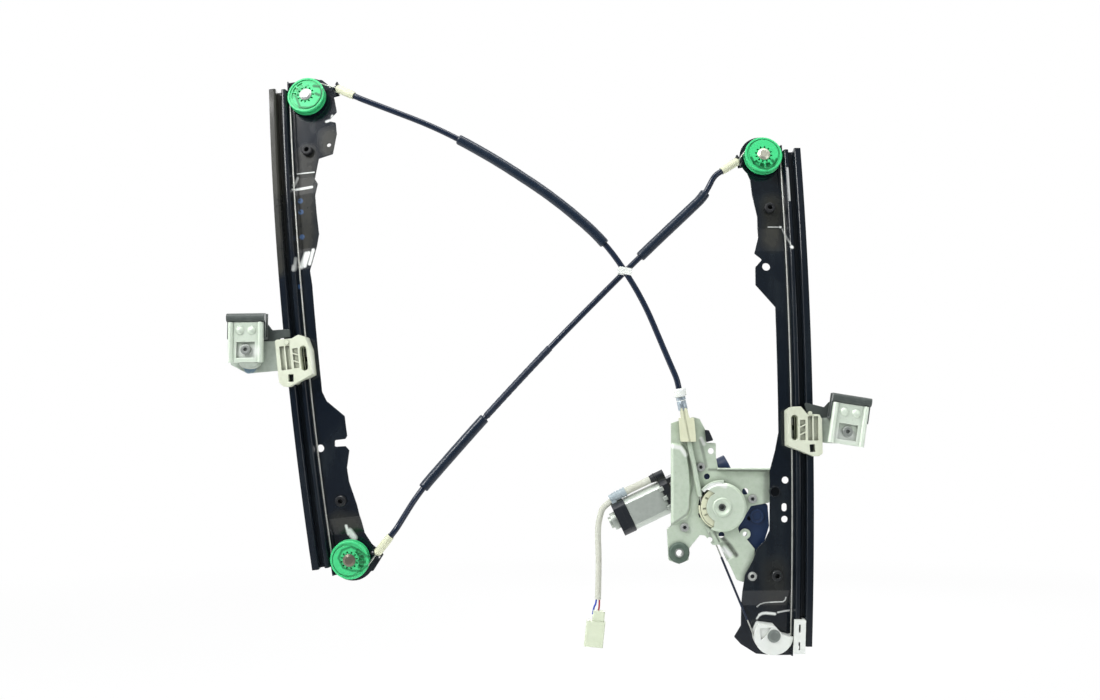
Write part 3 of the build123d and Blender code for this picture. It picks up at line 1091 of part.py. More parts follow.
def conduit_adjuster():
    """The threaded end of the upper conduit, with its collar."""
    top, foot = Vector(*adjuster_top(ADJUSTER_LENGTH)), Vector(*ADJUSTER_FOOT)
    length = (foot - top).length
    seat = CONDUIT_RADIUS + 0.05
    line = Polyline((0, 0), (seat, 0), (seat, -3), (5.6, -3), (6.6, -1.5), (6.6, 4.5), (4.6, 5.5),
                    (4.6, length - 1.0), (3.2, length), (0, length), close=True)
    shape = revolve(make_face(line), Axis.Y)
    return Plane(top, z_dir=foot - top) * Rot(90, 0, 0) * shape


def upper_drum_rope():
    """The rope between the adjuster and the drum, with its turn round the first groove."""
    line = upper_feed()
    return round_bar(line @ 0, line @ 1, ROPE_RADIUS) + drum_turn(FIRST_GROOVE)


def drum_turn(y):
    """One turn of rope in a groove of the drum."""
    return at_drum(revolve(Pos(DRUM_WRAP, y) * Circle(ROPE_RADIUS), Axis.Y))


def right_rail_rope():
    """The rope of the right rail, which runs on round the foot guide to the drum's last groove."""
    rope = rail_rope(RIGHT, (TOP_RIGHT_HEIGHT, TOP_RIGHT_FERRULE), (BOTTOM_RIGHT_HEIGHT, None))
    line = lower_feed()
    bend = Pos(*(line @ 0)) * Sphere(ROPE_RADIUS)
    return rope + bend + round_bar(line @ 0, line @ 1, ROPE_RADIUS) + drum_turn(LAST_GROOVE)


def rope_sheath():
    """The plastic sheath on the rope between the drum and the foot guide."""
    line = lower_feed()
    start, end = line @ 0.17, line @ 0.66
    return round_bar(start, end, SHEATH_RADIUS) - round_bar(line @ 0, line @ 1, ROPE_RADIUS)


SHEATH_RADIUS = 1.2


GUIDE_LEAVE = 202.0          # angle at which the rope leaves the foot guide for the drum


def plate_clip():
    """A spring clip for the harness on the plate's upper edge."""
    clip = front_prism(outline([(-79.5, 50.0), (-75.5, 49.5), (-71.0, 39.5), (-78.0, 37.5)], 0.8), PLATE_FRONT - 3.2, PLATE_FRONT)
    return clip


# ================================================================ harness
CORD_RADIUS = 3.1
LEAD_LIFT = CAN_WIDE / 2 + 5.25   # of the lead above the motor's axis
LEAD_Y = 20.5
STRAP_AT, STRAP_WIDTH = -94.5, 5.0
WIRE_RADIUS = 0.9
CONNECTOR_AT = (-188.3, 27.0, -149.0)
CONNECTOR_TILT = 6.0


def motor_point(along_axis, lift, y):
    """A point of the door given along and above the motor's axis."""
    tilt = math.radians(MOTOR_TILT)
    return (MOTOR_FOOT[0] + along_axis * math.cos(tilt) - lift * math.sin(tilt), y,
            MOTOR_FOOT[1] + along_axis * math.sin(tilt) + lift * math.cos(tilt))


LEAD_ROUTE = [
    motor_point(CAN_END, LEAD_LIFT, LEAD_Y), motor_point(BAND_START - 3.5, LEAD_LIFT, LEAD_Y),
    (-184.9, 24.0, -41.0), (-185.8, 27.0, -58.0), (-184.6, 27.0, -82.0), (-185.6, 27.0, -122.0),
]


def motor_lead():
    lead = tube_along(LEAD_ROUTE, easy_radii(LEAD_ROUTE), CORD_RADIUS)
    return lead - lead_wires()


def lead_sleeve():
    """The white sleeve on the lead where it lies along the can."""
    path = route_path(LEAD_ROUTE)
    return sleeve_on(path, 4.0, 38.0, CORD_RADIUS + 0.6, CORD_RADIUS)


def lead_strap():
    """The band that ties the lead to the can's end."""
    path = route_path(LEAD_ROUTE)
    start = CAN_END - STRAP_AT - STRAP_WIDTH / 2
    ring = sleeve_on(path, start, start + STRAP_WIDTH, CORD_RADIUS + 0.9, CORD_RADIUS)
    lead = tube_along(LEAD_ROUTE, easy_radii(LEAD_ROUTE), CORD_RADIUS)
    saddle = Pos(STRAP_AT, LEAD_Y - MOTOR_Y, LEAD_LIFT - 3.5) * Box(STRAP_WIDTH, 6.0, 4.0)
    saddle = saddle - flat_bar_x(CAN_WIDE + 1.6, CAN_DEEP + 1.6, BAND_START, CAN_START)
    return ring + (on_motor(saddle) - lead)


def wire_ends():
    """Where the two wires enter the connector, in the connector's own frame."""
    return [(2.2 - 2.6, 0, 16.0), (2.2 + 2.6, 0, 16.0)]


def connector_place():
    return Pos(*CONNECTOR_AT) * Rot(0, CONNECTOR_TILT, 0)


def lead_wires():
    wires = []
    end = Vector(*LEAD_ROUTE[-1])
    for shift, (x, y, z) in zip((-1.5, 1.5), wire_ends()):
        start = end + Vector(shift, 0, 4.0)
        above = (connector_place() * Pos(x, y, z + 4.0)).position
        inside = (connector_place() * Pos(x, y, z - 4.0)).position
        wires.append(tube_along([tuple(start), tuple(start - Vector(0, 0, 6.5)), tuple(above), tuple(inside)],
                                [2.0, 2.0], WIRE_RADIUS))
    return wires


def connector_housing():
    body = Pos(0, 0, -7.5) * Box(19, 12, 26) + Pos(2.2, 0, 10) * Box(12, 10, 12)
    body = fillet(body.edges().filter_by(Axis.Z), 1.2)
    body = body - Pos(0, 0, -17) * Box(15, 8.4, 12)
    for x, y, z in wire_ends():
        body = body - Pos(x, y, z - 2.0) * Cylinder(WIRE_RADIUS, 4.0)
    return connector_place() * body


# ================================================================ assembly
def build_parts():
    top_left, bottom_left = left_pulleys()
    upper_path = route_path(upper_conduit_route())
    crossing_path = route_path(crossing_conduit_route())
    parts = {
        "left_guide_rail": left_guide_rail(),
        "right_guide_rail": right_guide_rail(),
        "rail_weld_nuts": rail_weld_nuts(),
        "pulley_pins": pulley_pins(),
        "bottom_cable_guide": bottom_cable_guide(),
        "cable_guide_rivet": cable_guide_rivet(),
        "rail_end_stop": rail_end_stop(),
        "top_left_pulley": top_left,
        "bottom_left_pulley": bottom_left,
        "top_right_pulley": RIGHT.place(along(pulley(100), TOP_RIGHT_HEIGHT)),
        "left_rail_rope": rail_rope(LEFT, (TOP_LEFT_HEIGHT, TOP_LEFT_FERRULE),
                                    (BOTTOM_LEFT_HEIGHT, BOTTOM_LEFT_FERRULE)),
        "right_rail_rope": right_rail_rope(),
        "upper_conduit": conduit(upper_conduit_route()),
        "crossing_conduit": conduit(crossing_conduit_route()),
        "upper_conduit_foam": sleeve_on(upper_path, 122.0, 308.0, FOAM_RADIUS, SLEEVE_BORE),
        "crossing_conduit_foam": [sleeve_on(crossing_path, 62.0, 156.0, FOAM_RADIUS, SLEEVE_BORE),
                                  sleeve_on(crossing_path, 384.0, 480.0, FOAM_RADIUS, SLEEVE_BORE)],
        "crossing_conduit_tape": sleeve_on(crossing_path, 158.0, 253.0, TAPE_RADIUS, SLEEVE_BORE),
        "conduit_ferrules": conduit_ferrules(),
        "conduit_tie": conduit_tie(upper_path, crossing_path),
        "conduit_adjuster": conduit_adjuster(),
        "cable_inlet_guide": cable_inlet_guide(),
        "upper_drum_rope": upper_drum_rope(),
        "rope_sheath": rope_sheath(),
        "drive_plate": drive_plate(),
        "drum_cover": drum_cover(),
        "cable_drum": cable_drum(),
        "drum_spindle": drum_spindle(),
        "gear_housing": gear_housing(),
        "housing_screws": housing_screws(),
        "plate_rivets": plate_rivets(),
        "plate_grommet": plate_grommet(),
        "grommet_sleeve": grommet_sleeve(),
        "plate_clip": plate_clip(),
        "motor_can": motor_can(),
        "motor_end_band": motor_end_band(),
        "motor_end_cap": motor_end_cap(),
        "brush_holder": brush_holder(),
        "lead_sleeve": lead_sleeve(),
        "lead_strap": lead_strap(),
        "motor_lead": motor_lead(),
        "lead_wires": lead_wires(),
        "connector_housing": connector_housing(),
    }
    parts.update(LEFT_CARRIER.pieces("left"))
    parts.update(RIGHT_CARRIER.pieces("right"))
    return parts


def as_shape(piece):
    """One shape for export: a group of solids stays separate solids."""
    if isinstance(piece, list):
        return Compound(children=[solid for item in piece for solid in item.solids()])
    solids = piece.solids()
    return solids[0] if len(solids) == 1 else Compound(children=solids)


if __name__ == "__main__":
    os.makedirs("parts", exist_ok=True)
    for name, piece in build_parts().items():
        export_step(as_shape(piece), f"parts/{name}.step")
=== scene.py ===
"""A twin-rail cable window regulator, dressed for a studio picture.

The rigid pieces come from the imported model. This script gives each of them its finish, adds the soft and
thin pieces that hang on them, and sets the camera and the lamps.
"""

from __future__ import annotations

import json
import logging
import math
from collections.abc import Callable, Mapping, Sequence
from dataclasses import dataclass, field
from enum import Enum
from typing import Any, Union

import bmesh
import bpy
from mathutils import Euler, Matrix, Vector, noise

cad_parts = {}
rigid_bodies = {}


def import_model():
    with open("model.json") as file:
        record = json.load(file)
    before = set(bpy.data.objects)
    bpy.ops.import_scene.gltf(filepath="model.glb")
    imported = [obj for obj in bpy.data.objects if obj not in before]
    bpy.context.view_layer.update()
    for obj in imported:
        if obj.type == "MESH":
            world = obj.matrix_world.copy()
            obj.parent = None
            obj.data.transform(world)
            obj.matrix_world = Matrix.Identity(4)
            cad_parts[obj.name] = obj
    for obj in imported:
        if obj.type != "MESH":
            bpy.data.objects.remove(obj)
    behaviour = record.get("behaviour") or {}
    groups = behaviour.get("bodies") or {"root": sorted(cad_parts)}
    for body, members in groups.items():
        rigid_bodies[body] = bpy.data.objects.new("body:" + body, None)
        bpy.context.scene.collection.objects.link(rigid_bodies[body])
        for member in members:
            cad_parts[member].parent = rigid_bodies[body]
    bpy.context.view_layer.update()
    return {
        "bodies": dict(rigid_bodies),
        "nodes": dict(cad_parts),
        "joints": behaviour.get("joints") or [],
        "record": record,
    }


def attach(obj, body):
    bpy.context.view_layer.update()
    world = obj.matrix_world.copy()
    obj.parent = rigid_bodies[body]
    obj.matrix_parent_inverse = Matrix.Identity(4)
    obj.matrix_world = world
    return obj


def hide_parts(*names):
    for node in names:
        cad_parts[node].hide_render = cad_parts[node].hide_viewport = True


LOG = logging.getLogger("window_regulator")
MM = 0.001
PROBES = 6                      # rays that feel for edges and corners
MARK_CORE = 0.3                 # share of a mark's reach at its full strength
SPOT_CORE = 0.8                 # the same for a round spot
ROPE_STEPS = 12                 # rings less one of a form swept along the upper rope

Colour = tuple[float, float, float]
Point = tuple[float, float, float]
Place = tuple[float, float]     # across and up, as the front shows them


def metres(points: Sequence[Point]) -> list[Vector]:
    """Turns points in millimetres into vectors in metres.

    Args:
        points: places in the regulator's frame, in millimetres.

    Returns:
        The same places in metres.
    """
    return [Vector(point) * MM for point in points]


# ------------------------------------------------------------------ shader arithmetic
class Signal:
    """A node's output that reads as a number in Python expressions."""

    def __init__(self, net: "NodeNet", socket: bpy.types.NodeSocket) -> None:
        """Keeps the socket and the net that it belongs to."""
        self.net = net
        self.socket = socket

    def _math(self, operation: str, *values: "Value") -> "Signal":
        """Adds a Math node on the values, in their order."""
        return self.net.add("ShaderNodeMath", {"operation": operation}, *values)

    def __add__(self, other: "Value") -> "Signal":
        """Adds two values."""
        return self._math("ADD", self, other)

    def __radd__(self, other: "Value") -> "Signal":
        """Adds two values, the number first."""
        return self._math("ADD", other, self)

    def __sub__(self, other: "Value") -> "Signal":
        """Subtracts a value."""
        return self._math("SUBTRACT", self, other)

    def __rsub__(self, other: "Value") -> "Signal":
        """Subtracts this signal from a number."""
        return self._math("SUBTRACT", other, self)

    def __mul__(self, other: "Value") -> "Signal":
        """Multiplies two values."""
        return self._math("MULTIPLY", self, other)

    def __rmul__(self, other: "Value") -> "Signal":
        """Multiplies two values, the number first."""
        return self._math("MULTIPLY", other, self)

    def __truediv__(self, other: "Value") -> "Signal":
        """Divides by a value."""
        return self._math("DIVIDE", self, other)

    def __rtruediv__(self, other: "Value") -> "Signal":
        """Divides a number by this signal."""
        return self._math("DIVIDE", other, self)

    def __gt__(self, other: "Value") -> "Signal":
        """Gives 1 where this signal is the larger."""
        return self._math("GREATER_THAN", self, other)

    def least(self, other: "Value") -> "Signal":
        """Gives the smaller of two values."""
        return self._math("MINIMUM", self, other)

    def most(self, other: "Value") -> "Signal":
        """Gives the larger of two values."""
        return self._math("MAXIMUM", self, other)

    def sine(self) -> "Signal":
        """Gives the sine of this signal, in radians."""
        return self._math("SINE", self)

    def span(self, low: float, high: float, to_low: float = 0.0, to_high: float = 1.0) -> "Signal":
        """Maps one range on to another, and holds it there.

        Args:
            low: value that gives to_low.
            high: value that gives to_high.
            to_low: first end of the new range.
            to_high: second end of the new range.

        Returns:
            The mapped signal.
        """
        return self.net.add("ShaderNodeMapRange", {"clamp": True}, self, low, high, to_low, to_high)


Value = Union[Signal, float, Sequence[float]]


@dataclass(frozen=True)
class Mark:
    """A line across the regulator as the front shows it, in millimetres, that a finish picks out."""

    start: Place
    end: Place
    reach: float
    strength: float


def trace(reach: float, strength: float, *places: Place) -> tuple[Mark, ...]:
    """Joins places with marks.

    Args:
        reach: half the width of the marks, in millimetres.
        strength: how strongly they show.
        places: the corners, across and up, in millimetres.

    Returns:
        One mark for each pair of neighbours.
    """
    return tuple(Mark(start, end, reach, strength) for start, end in zip(places, places[1:]))


class NodeNet:
    """The node tree of one material, filled by expressions."""

    def __init__(self, name: str) -> None:
        """Makes an empty material with its shader.

        Args:
            name: the material's name.
        """
        self.material = bpy.data.materials.new(name)
        self.material.use_nodes = True
        self.tree = self.material.node_tree
        self.shader = self.tree.nodes["Principled BSDF"]

    @classmethod
    def on_tree(cls, tree: bpy.types.NodeTree) -> "NodeNet":
        """Wraps a tree that isn't a material's, such as the world's."""
        net = cls.__new__(cls)
        net.tree = tree
        return net

    def add(self, kind: str, settings: Mapping[str, Any] | None = None, *ordered: Value,
            output: int | str | None = 0, **named: Value) -> Signal:
        """Adds one node.

        Args:
            kind: the node's type.
            settings: its properties, set before its sockets.
            ordered: values or links for its sockets, in order.
            output: which output to return.
            named: values or links by socket name, with _ for a space.

        Returns:
            The chosen output.
        """
        node = self.tree.nodes.new(kind)
        for key, value in (settings or {}).items():
            setattr(node, key, value)
        for index, value in enumerate(ordered):
            self.feed(node.inputs[index], value)
        for key, value in named.items():
            self.feed(node.inputs[key.replace("_", " ")], value)
        return Signal(self, node.outputs[output]) if output is not None else Signal(self, None)

    def vectors(self, operation: str, *values: Value, output: str = "Vector", **named: Value) -> Signal:
        """Adds a Vector Math node on the values, in their order."""
        return self.add("ShaderNodeVectorMath", {"operation": operation}, *values, output=output, **named)

    def feed(self, socket: bpy.types.NodeSocket, value: Value) -> None:
        """Links a signal to a socket, or writes a number or colour on it.

        Args:
            socket: the input to feed.
            value: a signal, a number, a vector or a colour.
        """
        if isinstance(value, Signal):
            self.tree.links.new(value.socket, socket)
        elif isinstance(value, (int, float)):
            socket.default_value = value
        else:
            numbers = tuple(value)
            wide = len(socket.default_value)
            socket.default_value = numbers if len(numbers) == wide else (*numbers, 1.0)

    def place(self) -> Signal:
        """Gives the surface's place on its piece, in metres."""
        return self.add("ShaderNodeTexCoord", output="Object")

    def stretched(self, scale: Sequence[float], turn: Sequence[float] = (0.0, 0.0, 0.0)) -> Signal:
        """Gives the place on the piece, turned and stretched.

        Args:
            scale: factor along each axis.
            turn: angles in radians.

        Returns:
            A vector signal.
        """
        return self.add("ShaderNodeMapping", {"vector_type": "POINT"}, Vector=self.place(), Rotation=turn,
                        Scale=scale)

    def noise(self, size: float, detail: float = 3.0, roughness: float = 0.55,
              vector: Signal | None = None) -> Signal:
        """Gives smooth noise from 0 to 1.

        Args:
            size: the rough width of a patch, in metres.
            detail: octaves of finer noise.
            roughness: strength of the finer octaves.
            vector: where it is read, the place on the piece if left out.

        Returns:
            A number signal.
        """
        return self.add("ShaderNodeTexNoise", {"noise_dimensions": "3D"}, Vector=vector or self.place(),
                        Scale=1.0 / size, Detail=detail, Roughness=roughness)

    def cells(self, size: float) -> Signal:
        """Gives the distance to the middle of the nearest of many cells, size metres wide."""
        return self.add("ShaderNodeTexVoronoi", {"feature": "F1"}, Vector=self.place(), Scale=1.0 / size,
                        output="Distance")

    def mix(self, factor: Value, first: Value, second: Value) -> Signal:
        """Mixes two colours.

        Args:
            factor: share of the second.
            first: colour at 0.
            second: colour at 1.

        Returns:
            A colour signal.
        """
        node = self.add("ShaderNodeMix", {"data_type": "RGBA", "clamp_factor": True}, factor, output=2)
        inputs = node.socket.node.inputs
        self.feed(inputs[6], first)
        self.feed(inputs[7], second)
        return node

    def axis(self, name: str, vector: Signal | None = None) -> Signal:
        """Gives one coordinate of a vector."""
        return self.add("ShaderNodeSeparateXYZ", None, vector or self.place(), output=name)

    def rays(self) -> tuple[Signal, Signal, Signal]:
        """Tells camera rays, glossy rays and rays that pass through, in that order."""
        kinds = ("Is Camera Ray", "Is Glossy Ray", "Is Transmission Ray")
        return tuple(self.add("ShaderNodeLightPath", output=kind) for kind in kinds)

    def crease(self, radius: float) -> Signal:
        """Gives how sharply the surface stands out, 0 flat and 1 at an edge.

        Args:
            radius: how wide an edge counts, in metres.

        Returns:
            A number signal.
        """
        bent = self.add("ShaderNodeBevel", {"samples": PROBES}, Radius=radius)
        straight = self.add("ShaderNodeNewGeometry", output="Normal")
        return (1.0 - self.vectors("DOT_PRODUCT", bent, straight, output="Value")).span(0.01, 0.25)

    def hollow(self, reach: float) -> Signal:
        """Gives how closed in the surface is, 0 in the open and 1 deep in a corner.

        Args:
            reach: how far a wall still counts, in metres.

        Returns:
            A number signal.
        """
        settings = {"samples": PROBES, "only_local": False}
        seen = self.add("ShaderNodeAmbientOcclusion", settings, Distance=reach, output="AO")
        return (1.0 - seen).span(0.08, 0.75)

    def near(self, spot: Point, reach: float) -> Signal:
        """Gives 1 at a spot of the regulator, falling to 0 at its reach.

        Args:
            spot: the place in millimetres.
            reach: the radius in millimetres.

        Returns:
            A number signal.
        """
        away = self.vectors("DISTANCE", self.place(), tuple(metres([spot])[0]), output="Value")
        return away.span(reach * MM * SPOT_CORE, reach * MM, 1.0, 0.0)

    def along(self, mark: Mark, flat: Signal) -> Signal:
        """Gives 1 on a mark's line, falling to 0 at its reach, times its strength.

        Args:
            mark: the line on the regulator, its reach and its strength.
            flat: the place on the piece, with its depth left out.

        Returns:
            A number signal.
        """
        start, end = metres([(x, 0.0, z) for x, z in (mark.start, mark.end)])
        run = end - start
        here = self.vectors("SUBTRACT", flat, tuple(start))
        share = self.vectors("DOT_PRODUCT", here, tuple(run), output="Value") / run.length_squared
        nearest = self.vectors("SCALE", tuple(run), Scale=share.span(0.0, 1.0))
        away = self.vectors("DISTANCE", here, nearest, output="Value")
        return away.span(mark.reach * MM * MARK_CORE, mark.reach * MM, mark.strength, 0.0)

    def traced(self, marks: Sequence[Mark]) -> Signal:
        """Gives the strongest of several marks, at least one, on the faces toward the front."""
        flat = self.vectors("MULTIPLY", self.place(), (1.0, 0.0, 1.0))
        strongest = self.along(marks[0], flat)
        for mark in marks[1:]:
            strongest = self.along(mark, flat).most(strongest)
        facing = self.axis("Y", self.add("ShaderNodeTexCoord", output="Normal"))
        return strongest * facing.span(-0.12, 0.0, 1.0, 0.0)

    def bump(self, height: Signal, depth: float, strength: float = 1.0, rounding: float = 0.0) -> None:
        """Feeds the shader's normal from a height, over edges rounded to a radius.

        Args:
            height: heights from 0 to 1.
            depth: what 1 means, in metres.
            strength: share of the effect.
            rounding: radius of the edges, in metres.
        """
        normal = self.add("ShaderNodeBump", None, Strength=strength, Distance=depth, Height=height)
        if rounding > 0.0:
            rounded = self.add("ShaderNodeBevel", {"samples": PROBES}, Radius=rounding)
            self.feed(normal.socket.node.inputs["Normal"], rounded)
        self.surface(Normal=normal)

    def surface(self, **named: Value) -> None:
        """Sets or links the shader's sockets, with _ for a space in a name."""
        for key, value in named.items():
            self.feed(self.shader.inputs[key.replace("_", " ")], value)


# ------------------------------------------------------------------ finishes
@dataclass(frozen=True)
class Finish:
    """What every finish has: a name and its main colour."""

    name: str
    colour: Colour

    def dress(self, net: NodeNet) -> None:
        """Fills the node tree.

        Args:
            net: the material's nodes.
        """
        raise NotImplementedError

    def build(self) -> bpy.types.Material:
        """Makes the material.

        Returns:
            The finished material, made once for each name.
        """
        name = f"{self.name}_finish"
        known = bpy.data.materials.get(name)
        if known is not None:
            return known
        net = NodeNet(name)
        self.dress(net)
        return net.material


@dataclass(frozen=True)
class DipPaint(Finish):
    """Black dip paint on pressed steel: glossy, slightly pebbled, dusty in places and rubbed on its edges,
    with painted sheen and painted highlights.
    """

    dust: Colour = (0.060, 0.075, 0.075)
    bare: Colour = (0.20, 0.21, 0.20)
    roughness: float = 0.13
    dusty: float = 0.14
    edge_radius: float = 0.0011
    dots: tuple[Point, ...] = ()
    dot_reach: float = 3.0
    dot_colour: Colour = (0.055, 0.115, 0.25)
    # painted sheen: lighter brownish patches along these lines, in the colour given next
    films: tuple[Mark, ...] = ()
    film: Colour = (0.027, 0.027, 0.021)
    # painted highlights: near-white lines along these bends, in the colour given next
    worn: tuple[Mark, ...] = ()
    worn_colour: Colour = (0.86, 0.89, 0.86)

    def dress(self, net: NodeNet) -> None:
        """Fills the node tree with paint, dust, rubbed edges, painted sheen and painted highlights."""
        streaks = net.noise(0.012, 4.0, 0.6, net.stretched((1.0, 1.0, 0.22)))
        patches = net.noise(0.05, 2.0)
        dust = (streaks * patches).span(0.22, 0.44, 0.0, self.dusty)
        speck = (net.noise(0.0011, 2.0) > 0.70) * 0.35
        deep = net.hollow(0.006)
        rubbed = net.crease(0.0006) * net.noise(0.004, 3.0).span(0.42, 0.60)
        painted = net.mix(dust.most(speck * dust).most(deep * 0.12), self.colour, self.dust)
        # painted sheen: lighter brownish patches along the listed lines, a little rougher
        sheen_mask: Value = 0.0
        if self.films:
            sheen_mask = net.traced(self.films) * net.noise(0.009, 4.0, 0.6).span(0.2, 0.7, 0.5, 1.0)
            painted = net.mix(sheen_mask, painted, self.film)
        for dot in self.dots:
            ragged = net.noise(0.002, 2.0).span(0.34, 0.44)
            painted = net.mix(net.near(dot, self.dot_reach) * ragged * 0.9, painted, self.dot_colour)
        body = net.mix(rubbed * 0.55, painted, self.bare)
        rough = self.roughness + dust * 0.5 + net.noise(0.006) * 0.06 + sheen_mask * 0.16
        # painted highlights: near-white lines along the listed bends
        if self.worn:
            worn = net.traced(self.worn) * net.noise(0.0022, 3.0).span(0.25, 0.42, 0.7, 1.0)
            body = net.mix(worn, body, self.worn_colour)
        net.surface(Base_Color=body, Metallic=rubbed * 0.5, Roughness=rough)
        net.surface(Coat_Weight=0.3, Coat_Roughness=0.08, Specular_IOR_Level=0.3)
        net.bump(net.noise(0.0009, 2.0) * 0.6 + net.noise(0.009) * 1.6, 0.00004, 0.45, self.edge_radius)


@dataclass(frozen=True)
class ZincSheet(Finish):
    """Pressed sheet in passivated zinc: spangle, rolling lines, grimy pits, painted shade in its corners and
    folds, painted highlights and bright edges.
    """

    stain: Colour = (0.36, 0.43, 0.33)
    bright: Colour = (0.86, 0.89, 0.84)
    # dark colour of the pits, which is also the painted shade in hollows and along the listed fold lines
    grime: Colour = (0.14, 0.16, 0.13)
    roughness: float = 0.40
    metallic: float = 0.30
    grain_turn: float = 0.0
    mark: Colour = (0.15, 0.26, 0.38)
    mark_at: Point = (0.0, 0.0, 0.0)
    mark_reach: float = 0.0
    # painted shade: darker above this height, in millimetres, in the colour given next
    dipped_over: float | None = None
    dipped: Colour = (0.035, 0.045, 0.045)
    cloudy: float = 0.45
    # painted shade along these lines
    creases: tuple[Mark, ...] = ()
    shines: tuple[Mark, ...] = ()
    shine: Colour = (0.95, 0.97, 0.94)

    def dress(self, net: NodeNet) -> None:
        """Fills the node tree with spangle, stains, grimy pits, painted shade and highlights, bright edges
        and a dab of marking paint.
        """
        spangle = net.cells(0.0042).span(0.1, 0.8)
        cloud = net.noise(0.018, 4.0, 0.6).span(0.35, 0.7)
        lines = net.noise(0.0012, 2.0, 0.5, net.stretched((1.0, 1.0, 0.03), (0.0, self.grain_turn, 0.0)))
        edge = net.crease(0.0008)
        deep = net.hollow(0.006)
        body = net.mix(cloud * self.cloudy, self.colour, self.stain)
        body = net.mix(spangle * 0.16, body, self.bright)
        pits = net.noise(0.0014, 3.0).span(0.62, 0.74)
        # grimy pits, and painted shade in the hollows
        body = net.mix((pits * 0.25).most(deep * 0.75), body, self.grime)
        body = net.mix(edge * 0.55, body, self.bright)
        # painted shade along the listed fold lines
        if self.creases:
            uneven = net.noise(0.004, 3.0).span(0.2, 0.5, 0.7, 1.0)
            body = net.mix(net.traced(self.creases) * uneven, body, self.grime)
        # painted highlights along the listed bends
        if self.shines:
            body = net.mix(net.traced(self.shines), body, self.shine)
        if self.mark_reach > 0.0:
            ragged = net.near(self.mark_at, self.mark_reach) * net.noise(0.0022, 3.0).span(0.36, 0.46)
            body = net.mix(ragged * 0.85, body, self.mark)
        # painted shade over the given height, with a ragged rim
        if self.dipped_over is not None:
            rim = net.noise(0.004, 2.0) * 0.0012 + self.dipped_over * MM
            body = net.mix((net.axis("Z") - rim).span(-0.0004, 0.0004) * 0.92, body, self.dipped)
        net.surface(Base_Color=body, Metallic=self.metallic,
                    Roughness=self.roughness + cloud * 0.14 + lines * 0.12 - edge * 0.10)
        net.bump(lines * 0.6 + net.noise(0.004, 2.0) * 0.8 + pits * 0.3, 0.00005, 0.55, 0.0008)


@dataclass(frozen=True)
class BrightSteel(Finish):
    """Turned or headed fasteners in bright zinc."""

    roughness: float = 0.26
    patches: tuple[tuple[Point, float, Colour], ...] = ()

    def dress(self, net: NodeNet) -> None:
        """Fills the node tree with bright metal, painted shade in hollows and patches of other colours."""
        cloud = net.noise(0.003, 3.0)
        edge = net.crease(0.0005)
        deep = net.hollow(0.003)
        dull = net.mix(cloud * 0.4, self.colour, tuple(part * 0.65 for part in self.colour))
        # painted shade: near-black in hollows
        dull = net.mix(deep * 0.85, dull, (0.05, 0.055, 0.05))
        body = net.mix(edge * 0.7, dull, tuple(min(1.0, part * 1.25) for part in self.colour))
        for spot, reach, colour in self.patches:
            body = net.mix(net.near(spot, reach), body, colour)
        net.surface(Base_Color=body, Metallic=0.75, Roughness=self.roughness + cloud * 0.2)
        net.bump(net.noise(0.0006, 3.0), 0.00003, 0.5, 0.0004)


@dataclass(frozen=True)
class Moulding(Finish):
    """Moulded plastic: fine spark-eroded grain, slow colour drift, painted shade in corners and along listed
    marks, and rubbed edges.
    """

    shade: Colour = (0.5, 0.5, 0.5)
    # soil: the colour of the painted shade in corners and along the marks
    soil: Colour = (0.16, 0.17, 0.13)
    roughness: float = 0.42
    subsurface: float = 0.0
    dirt: float = 0.2
    # corner: strength of the painted shade in corners; marks: lines of the same painted shade
    corner: float = 0.55
    marks: tuple[Mark, ...] = ()

    def dress(self, net: NodeNet) -> None:
        """Fills the node tree with grain, drift, dirt and painted shade."""
        drift = net.noise(0.02, 3.0).span(0.3, 0.7)
        smudge = net.noise(0.006, 4.0, 0.65).span(0.5, 0.75)
        edge = net.crease(0.0006)
        deep = net.hollow(0.0045)
        body = net.mix(drift * 0.3 + smudge * self.dirt, self.colour, self.shade)
        # painted shade in hollows and corners
        body = net.mix(deep * self.corner, body, self.soil)
        # painted shade along the listed marks
        if self.marks:
            body = net.mix(net.traced(self.marks), body, self.soil)
        light = tuple(min(1.0, part * 1.12 + 0.02) for part in self.colour)
        net.surface(Base_Color=net.mix(edge * 0.5, body, light),
                    Roughness=self.roughness + smudge * 0.12 - edge * 0.06)
        net.surface(Subsurface_Weight=self.subsurface, Subsurface_Radius=(0.0012, 0.0012, 0.0010),
                    Subsurface_Scale=1.0)
        net.bump(net.noise(0.0005, 2.0) + net.noise(0.005) * 0.8, 0.00003, 0.55, 0.0005)


@dataclass(frozen=True)
class WireRope(Finish):
    """Galvanised stranded rope with a film of grease between its strands."""

    lay: float = 0.0016
    turn: float = 0.55

    def dress(self, net: NodeNet) -> None:
        """Fills the node tree with slanting strands."""
        place = net.stretched((1.0, 1.0, 1.0), (0.0, self.turn, 0.0))
        strand = (net.axis("Z", place) * (2 * math.pi / self.lay)).sine().span(-1.0, 1.0)
        grease = net.noise(0.006, 3.0).span(0.45, 0.7)
        dark = tuple(part * 0.62 for part in self.colour)
        body = net.mix(strand, dark, self.colour)
        net.surface(Base_Color=net.mix(grease * 0.35, body, (0.14, 0.14, 0.12)), Metallic=0.6,
                    Roughness=0.36 + grease * 0.2)
        net.bump(strand, 0.00018, 0.9)


